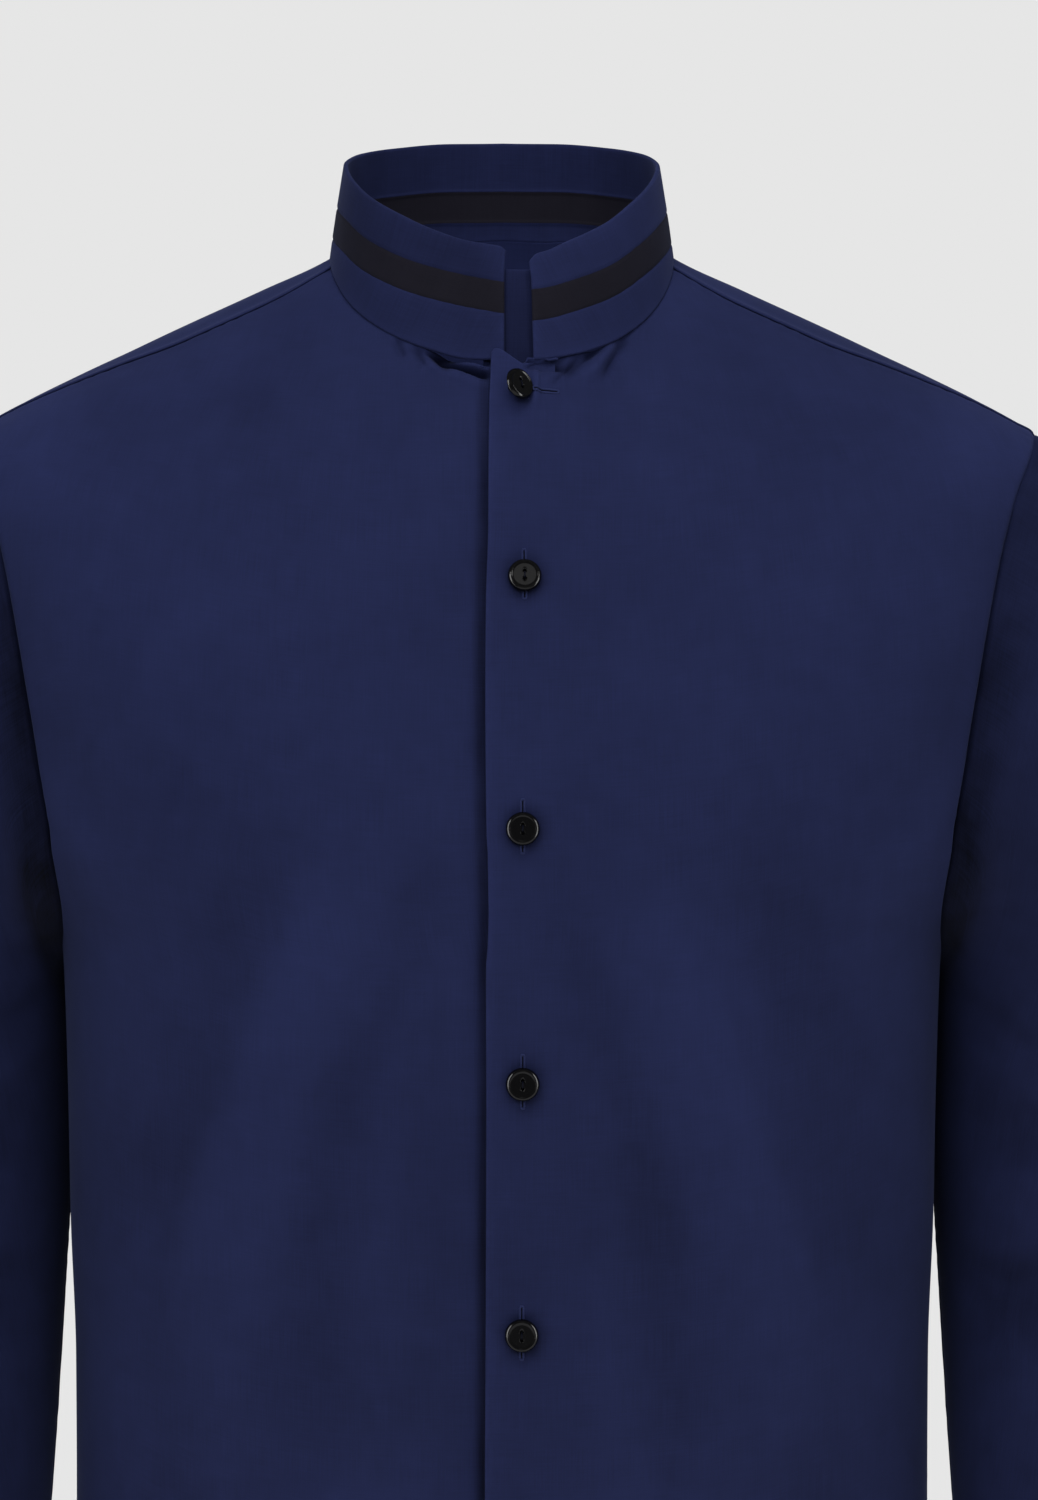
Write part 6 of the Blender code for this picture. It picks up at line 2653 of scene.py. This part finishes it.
@dataclass
class Studio:
    """A pale floor, a pale backdrop all round, soft lights and the camera."""

    floor_z: float = -0.88
    floor_radius: float = 1.95
    floor_rings: int = 9
    floor_sides: int = 64
    backdrop: float = 0.791
    ambient: float = 0.15
    camera_place: Triple = (0.0071, -2.6, -0.205)
    seen_height: float = 0.63
    sensor: float = 36.0
    lights: tuple[SoftLight, ...] = (
        SoftLight("key", (-0.8, -2.3, 1.1), (1.2, 1.2), 22.0),
        SoftLight("fill", (0.9, -2.4, 0.6), (1.2, 1.2), 14.0),
        SoftLight("overhead", (0.0, -1.1, 1.9), (1.8, 1.2), 26.0),
        SoftLight("left_side", (-1.9, 0.3, 0.3), (1.0, 1.6), 7.0),
        SoftLight("right_side", (1.9, 0.3, 0.3), (1.0, 1.6), 7.0),
        SoftLight("behind_left", (-1.0, 2.1, 0.9), (1.4, 1.4), 20.0),
        SoftLight("behind_right", (1.0, 2.1, 0.6), (1.4, 1.4), 15.0),
        SoftLight("inside", (0.0, 0.0, -0.08), (0.05, 0.05), 0.028, aim=(0.0, 0.09, -0.01)),
        SoftLight("left_glint", (-1.65, -0.95, -0.2), (0.5, 2.4), 32.0, glint=True),
        SoftLight("right_glint", (1.65, -0.95, -0.2), (0.5, 2.4), 32.0, glint=True),
        SoftLight("face_glint", (0.13, -1.78, 0.97), (0.5, 0.35), 0.55, glint=True),
    )

    def build(self, glossy: bpy.types.Collection) -> None:
        """Makes the whole stage.

        Args:
            glossy: The pieces that the glint lights shine on. They leave the rest alone.
        """
        self.world()
        self.floor()
        for light in self.lights:
            self.light(light, glossy)
        self.camera()
        bpy.context.scene.view_settings.view_transform = "Standard"

    def world(self) -> None:
        """The backdrop is an even pale grey to the camera, and dimmer as a light."""
        world = bpy.data.worlds.new("pale_studio")
        world.use_nodes = True
        world.node_tree.nodes.clear()
        sheet = NodeSheet(world.node_tree)
        seen = sheet.add("ShaderNodeLightPath").outputs["Is Camera Ray"]
        tone = (self.backdrop, self.backdrop, self.backdrop, 1.0)
        lit = sheet.add("ShaderNodeBackground", {"Color": tone, "Strength": self.ambient})
        shown = sheet.add("ShaderNodeBackground", {"Color": tone, "Strength": 1.0})
        both = sheet.add("ShaderNodeMixShader", {0: seen, 1: lit.outputs[0], 2: shown.outputs[0]})
        sheet.add("ShaderNodeOutputWorld", {"Surface": both.outputs[0]})
        bpy.context.scene.world = world

    def floor(self) -> None:
        """Makes a pale disc below the hem, out of the camera's sight."""
        rings = np.linspace(0, self.floor_radius, self.floor_rings)[:, None]
        angle = np.linspace(0, TAU, self.floor_sides + 1)
        x, y = rings * np.cos(angle), rings * np.sin(angle)
        points = np.stack([x, y, np.full_like(x, self.floor_z)], axis=-1)
        index = np.arange(x.size).reshape(x.shape)
        index[:, -1] = index[:, 0]
        index[0] = index[0, 0]
        faces = [f for block in without_repeats(grid_quads(index)) for f in block[:, ::-1].tolist()]
        mesh = bpy.data.meshes.new("studio_floor")
        mesh.from_pydata(points.reshape(-1, 3).tolist(), [], faces)
        mesh.materials.append(StageFloor("pale_floor", (0.80, 0.80, 0.81), 0.9).material())
        on_stage("studio_floor", mesh)

    def light(self, light: SoftLight, glossy: bpy.types.Collection) -> None:
        """Makes one soft light, its -Z axis turned towards the shirt.

        Args:
            light: What it is.
            glossy: What a glint shines on.
        """
        data = bpy.data.lights.new(light.name, "AREA")
        data.shape = "RECTANGLE"
        data.size, data.size_y = light.size
        data.energy = light.power
        made = on_stage(light.name, data)
        made.visible_camera = False
        made.visible_glossy = light.glint
        made.visible_diffuse = not light.glint
        if light.glint:
            made.light_linking.receiver_collection = glossy
        away = unit(np.array(light.place) - np.array(light.aim))
        across = unit(np.cross([0.0, 0.0, 1.0], away))
        rows = np.eye(4)
        rows[:3] = np.stack([across, np.cross(away, across), away, light.place], axis=1)
        made.matrix_world = rows.T.tolist()

    def camera(self) -> None:
        """Makes the camera, level with the chest, with a lens for the height it sees."""
        data = bpy.data.cameras.new("studio_camera")
        data.sensor_width = self.sensor
        data.lens = self.sensor * -self.camera_place[1] / self.seen_height
        data.clip_start, data.clip_end = 0.05, 50.0
        made = on_stage("studio_camera", data)
        made.location = self.camera_place
        made.rotation_euler = (math.pi / 2, 0.0, 0.0)
        bpy.context.scene.camera = made


# --- the shirt


@dataclass
class Shirt:
    """Puts the shirt together from its panels, buttons and sewing."""

    form: ShirtForm = field(default_factory=ShirtForm)
    shop: Workshop = field(default_factory=Workshop)
    finishes: Finishes = field(default_factory=Finishes)

    def build(self) -> None:
        """Makes every piece."""
        self.buttons()
        self.body()
        self.arms()
        self.collar()
        self.fastenings()
        self.stitches()
        LOG.info("all pieces: %d triangles", self.shop.triangles)

    def buttons(self) -> None:
        """Finds the frame's front buttons."""
        ahead = np.array([0.0, -1.0, 0.0])
        self.front_poses = [button_pose(f"button_{i}", ahead) for i in range(1, 8)]
        self.button_z = [float(pose.origin[2]) for pose in self.front_poses]

    def body(self) -> None:
        """Makes the fronts, the back and the yoke."""
        form = self.form
        self.left = FrontPanel(
            form, "left_front", "front_left", "yoke_panel", (0.296, 0.776), 0.171,
            side=1, creases=LEFT_FRONT_CREASES, button_z=self.button_z,
        )
        self.right = FrontPanel(
            form, "right_front", "front_right", "yoke_panel", (0.315, 0.776), 0.184,
            side=-1, creases=RIGHT_FRONT_CREASES, button_z=self.button_z,
        )
        self.back = BackPanel(form, "back_panel", "back", "yoke_panel", (0.514, 0.663), 0.294)
        self.yoke = Yoke(form, "yoke_panel", "yoke", "wearer", (0.572, 0.154), 0.057)
        for panel in (self.left, self.right, self.back, self.yoke):
            panel.build(self.shop, self.finishes.poplin)

    def arms(self) -> None:
        """Makes the sleeves and the cuffs."""
        self.cuffs = {}
        # painted shade on each sleeve, darker on the wearer's right
        for name, side, inner_shade, head_shade in (("left", 1, 2.3, 2.9), ("right", -1, 2.6, 3.9)):
            sleeve = Sleeve(
                self.form, f"{name}_sleeve", f"sleeve_{name}_upper", "yoke_panel",
                (0.556, 0.591), 0.160, side=side, inner_shade=inner_shade, head_shade=head_shade,
            )
            sleeve.build(self.shop, self.finishes.poplin)
            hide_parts(f"sleeve_{name}_lower")
            self.cuffs[name] = Cuff(
                self.form, f"{name}_cuff", f"cuff_{name}", f"{name}_sleeve",
                (0.242, 0.062), 0.0142, side=side,
            )
            self.cuffs[name].build(self.shop, self.finishes.poplin)

    def collar(self) -> None:
        """Makes the band's three strips and the tab behind its gap."""
        form, shop, finishes = self.form, self.shop, self.finishes
        lower = CollarStrip(
            form, "band_lower", "collar_lower", "yoke_panel", (0.452, 0.022), 0.0053,
            high=BandLine.STRIPE_LOW, right_shade=1.0, left_shade=0.4, back_shade=2.0,
        )
        stripe = CollarStrip(
            form, "band_stripe", "collar_stripe", "band_lower", (0.432, 0.0132), 0.0055,
            low=BandLine.STRIPE_LOW, high=BandLine.STRIPE_TOP,
        )
        upper = CollarStrip(
            form, "band_upper", "collar_upper", "band_stripe", (0.421, 0.021), 0.0076,
            low=BandLine.STRIPE_TOP, right_shade=1.9, left_shade=0.5, back_shade=1.6,
        )
        tab = CollarTab(form, "band_tab", "collar_tab", "band_lower", (0.028, 0.045), 0.00124)
        lower.build(shop, finishes.poplin)
        stripe.build(shop, finishes.tape, "black_tape")
        upper.build(shop, finishes.poplin)
        tab.build(shop, finishes.poplin)

    def fastenings(self) -> None:
        """Makes the buttons with their sewing, and the buttonholes."""
        probe = SurfaceProbe(self.left.surface, CLOTH_FACE)
        for number, pose in enumerate(self.front_poses, 1):
            button = Button(f"front_button_{number}", f"button_{number}", pose)
            button.build(self.shop, self.finishes, probe)
            ends = TOP_BUTTONHOLE + [0, pose.origin[1], 0] if number == 1 else pose.origin + BUTTONHOLE
            start, end = probe.drop(ends)[0]
            Buttonhole(f"buttonhole_{number}", start, end, probe).build(self.shop, self.finishes)
        for name, cuff in self.cuffs.items():
            self.cuff_fastening(cuff, name)

    def cuff_fastening(self, cuff: Cuff, name: str) -> None:
        """Makes a cuff's button and buttonhole.

        Args:
            cuff: The cuff.
            name: The wearer's side.
        """
        node = f"cuff_button_{name}"
        probe = SurfaceProbe(cuff.surface, cuff.thickness / 2)
        _, out = probe.drop(np.mean(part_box(node), axis=0)[None])
        pose = button_pose(node, out[0])
        Button(f"{name}_cuff_button", node, pose).build(self.shop, self.finishes, probe)
        start, end = probe.drop(pose.origin + pose.across * CUFF_BUTTONHOLE)[0]
        Buttonhole(f"{name}_cuff_buttonhole", start, end, probe).build(self.shop, self.finishes)

    def stitches(self) -> None:
        """Makes the rows of stitches along the hem, the cuffs and the yoke seam."""
        hem, cuff_ends = (Side.FIRST_ROW,), (Side.FIRST_ROW, Side.LAST_ROW)
        self.stitch_rows("hem_stitches", (self.left, self.right, self.back), hem, HEM_STITCHES)
        self.stitch_rows("yoke_stitches", (self.yoke,), (Side.FIRST_ROW,), YOKE_STITCHES)
        for name, cuff in self.cuffs.items():
            stand = cuff.thickness / 2
            distance = cuff.stitches_at
            self.stitch_rows(f"{name}_cuff_stitches", (cuff,), cuff_ends, distance, stand)

    def stitch_rows(
        self,
        name: str,
        panels: Sequence[Panel],
        sides: Sequence[Side],
        distance: float,
        stand: float = CLOTH_FACE,
    ) -> None:
        """Makes a piece of rows of stitches.

        Args:
            name: Its name.
            panels: The panels that they are sewn on.
            sides: The panels' sides that they run beside.
            distance: How far from those sides they are.
            stand: How far out from the middle of the cloth they lie.
        """
        row = StitchRow()
        lines = [panel.surface.line(side, distance, stand) for panel in panels for side in sides]
        data = join([row.mesh(*line) for line in lines])
        self.shop.piece(name, data, self.finishes.thread, "navy_poplin")


def main() -> None:
    """Builds the shirt and its stage."""
    logging.basicConfig(level=logging.INFO, format="%(name)s: %(message)s")
    shirt = Shirt()
    shirt.build()
    Studio().build(shirt.shop.glossy)
    bpy.context.view_layer.update()


if __name__ == "__main__":
    main()
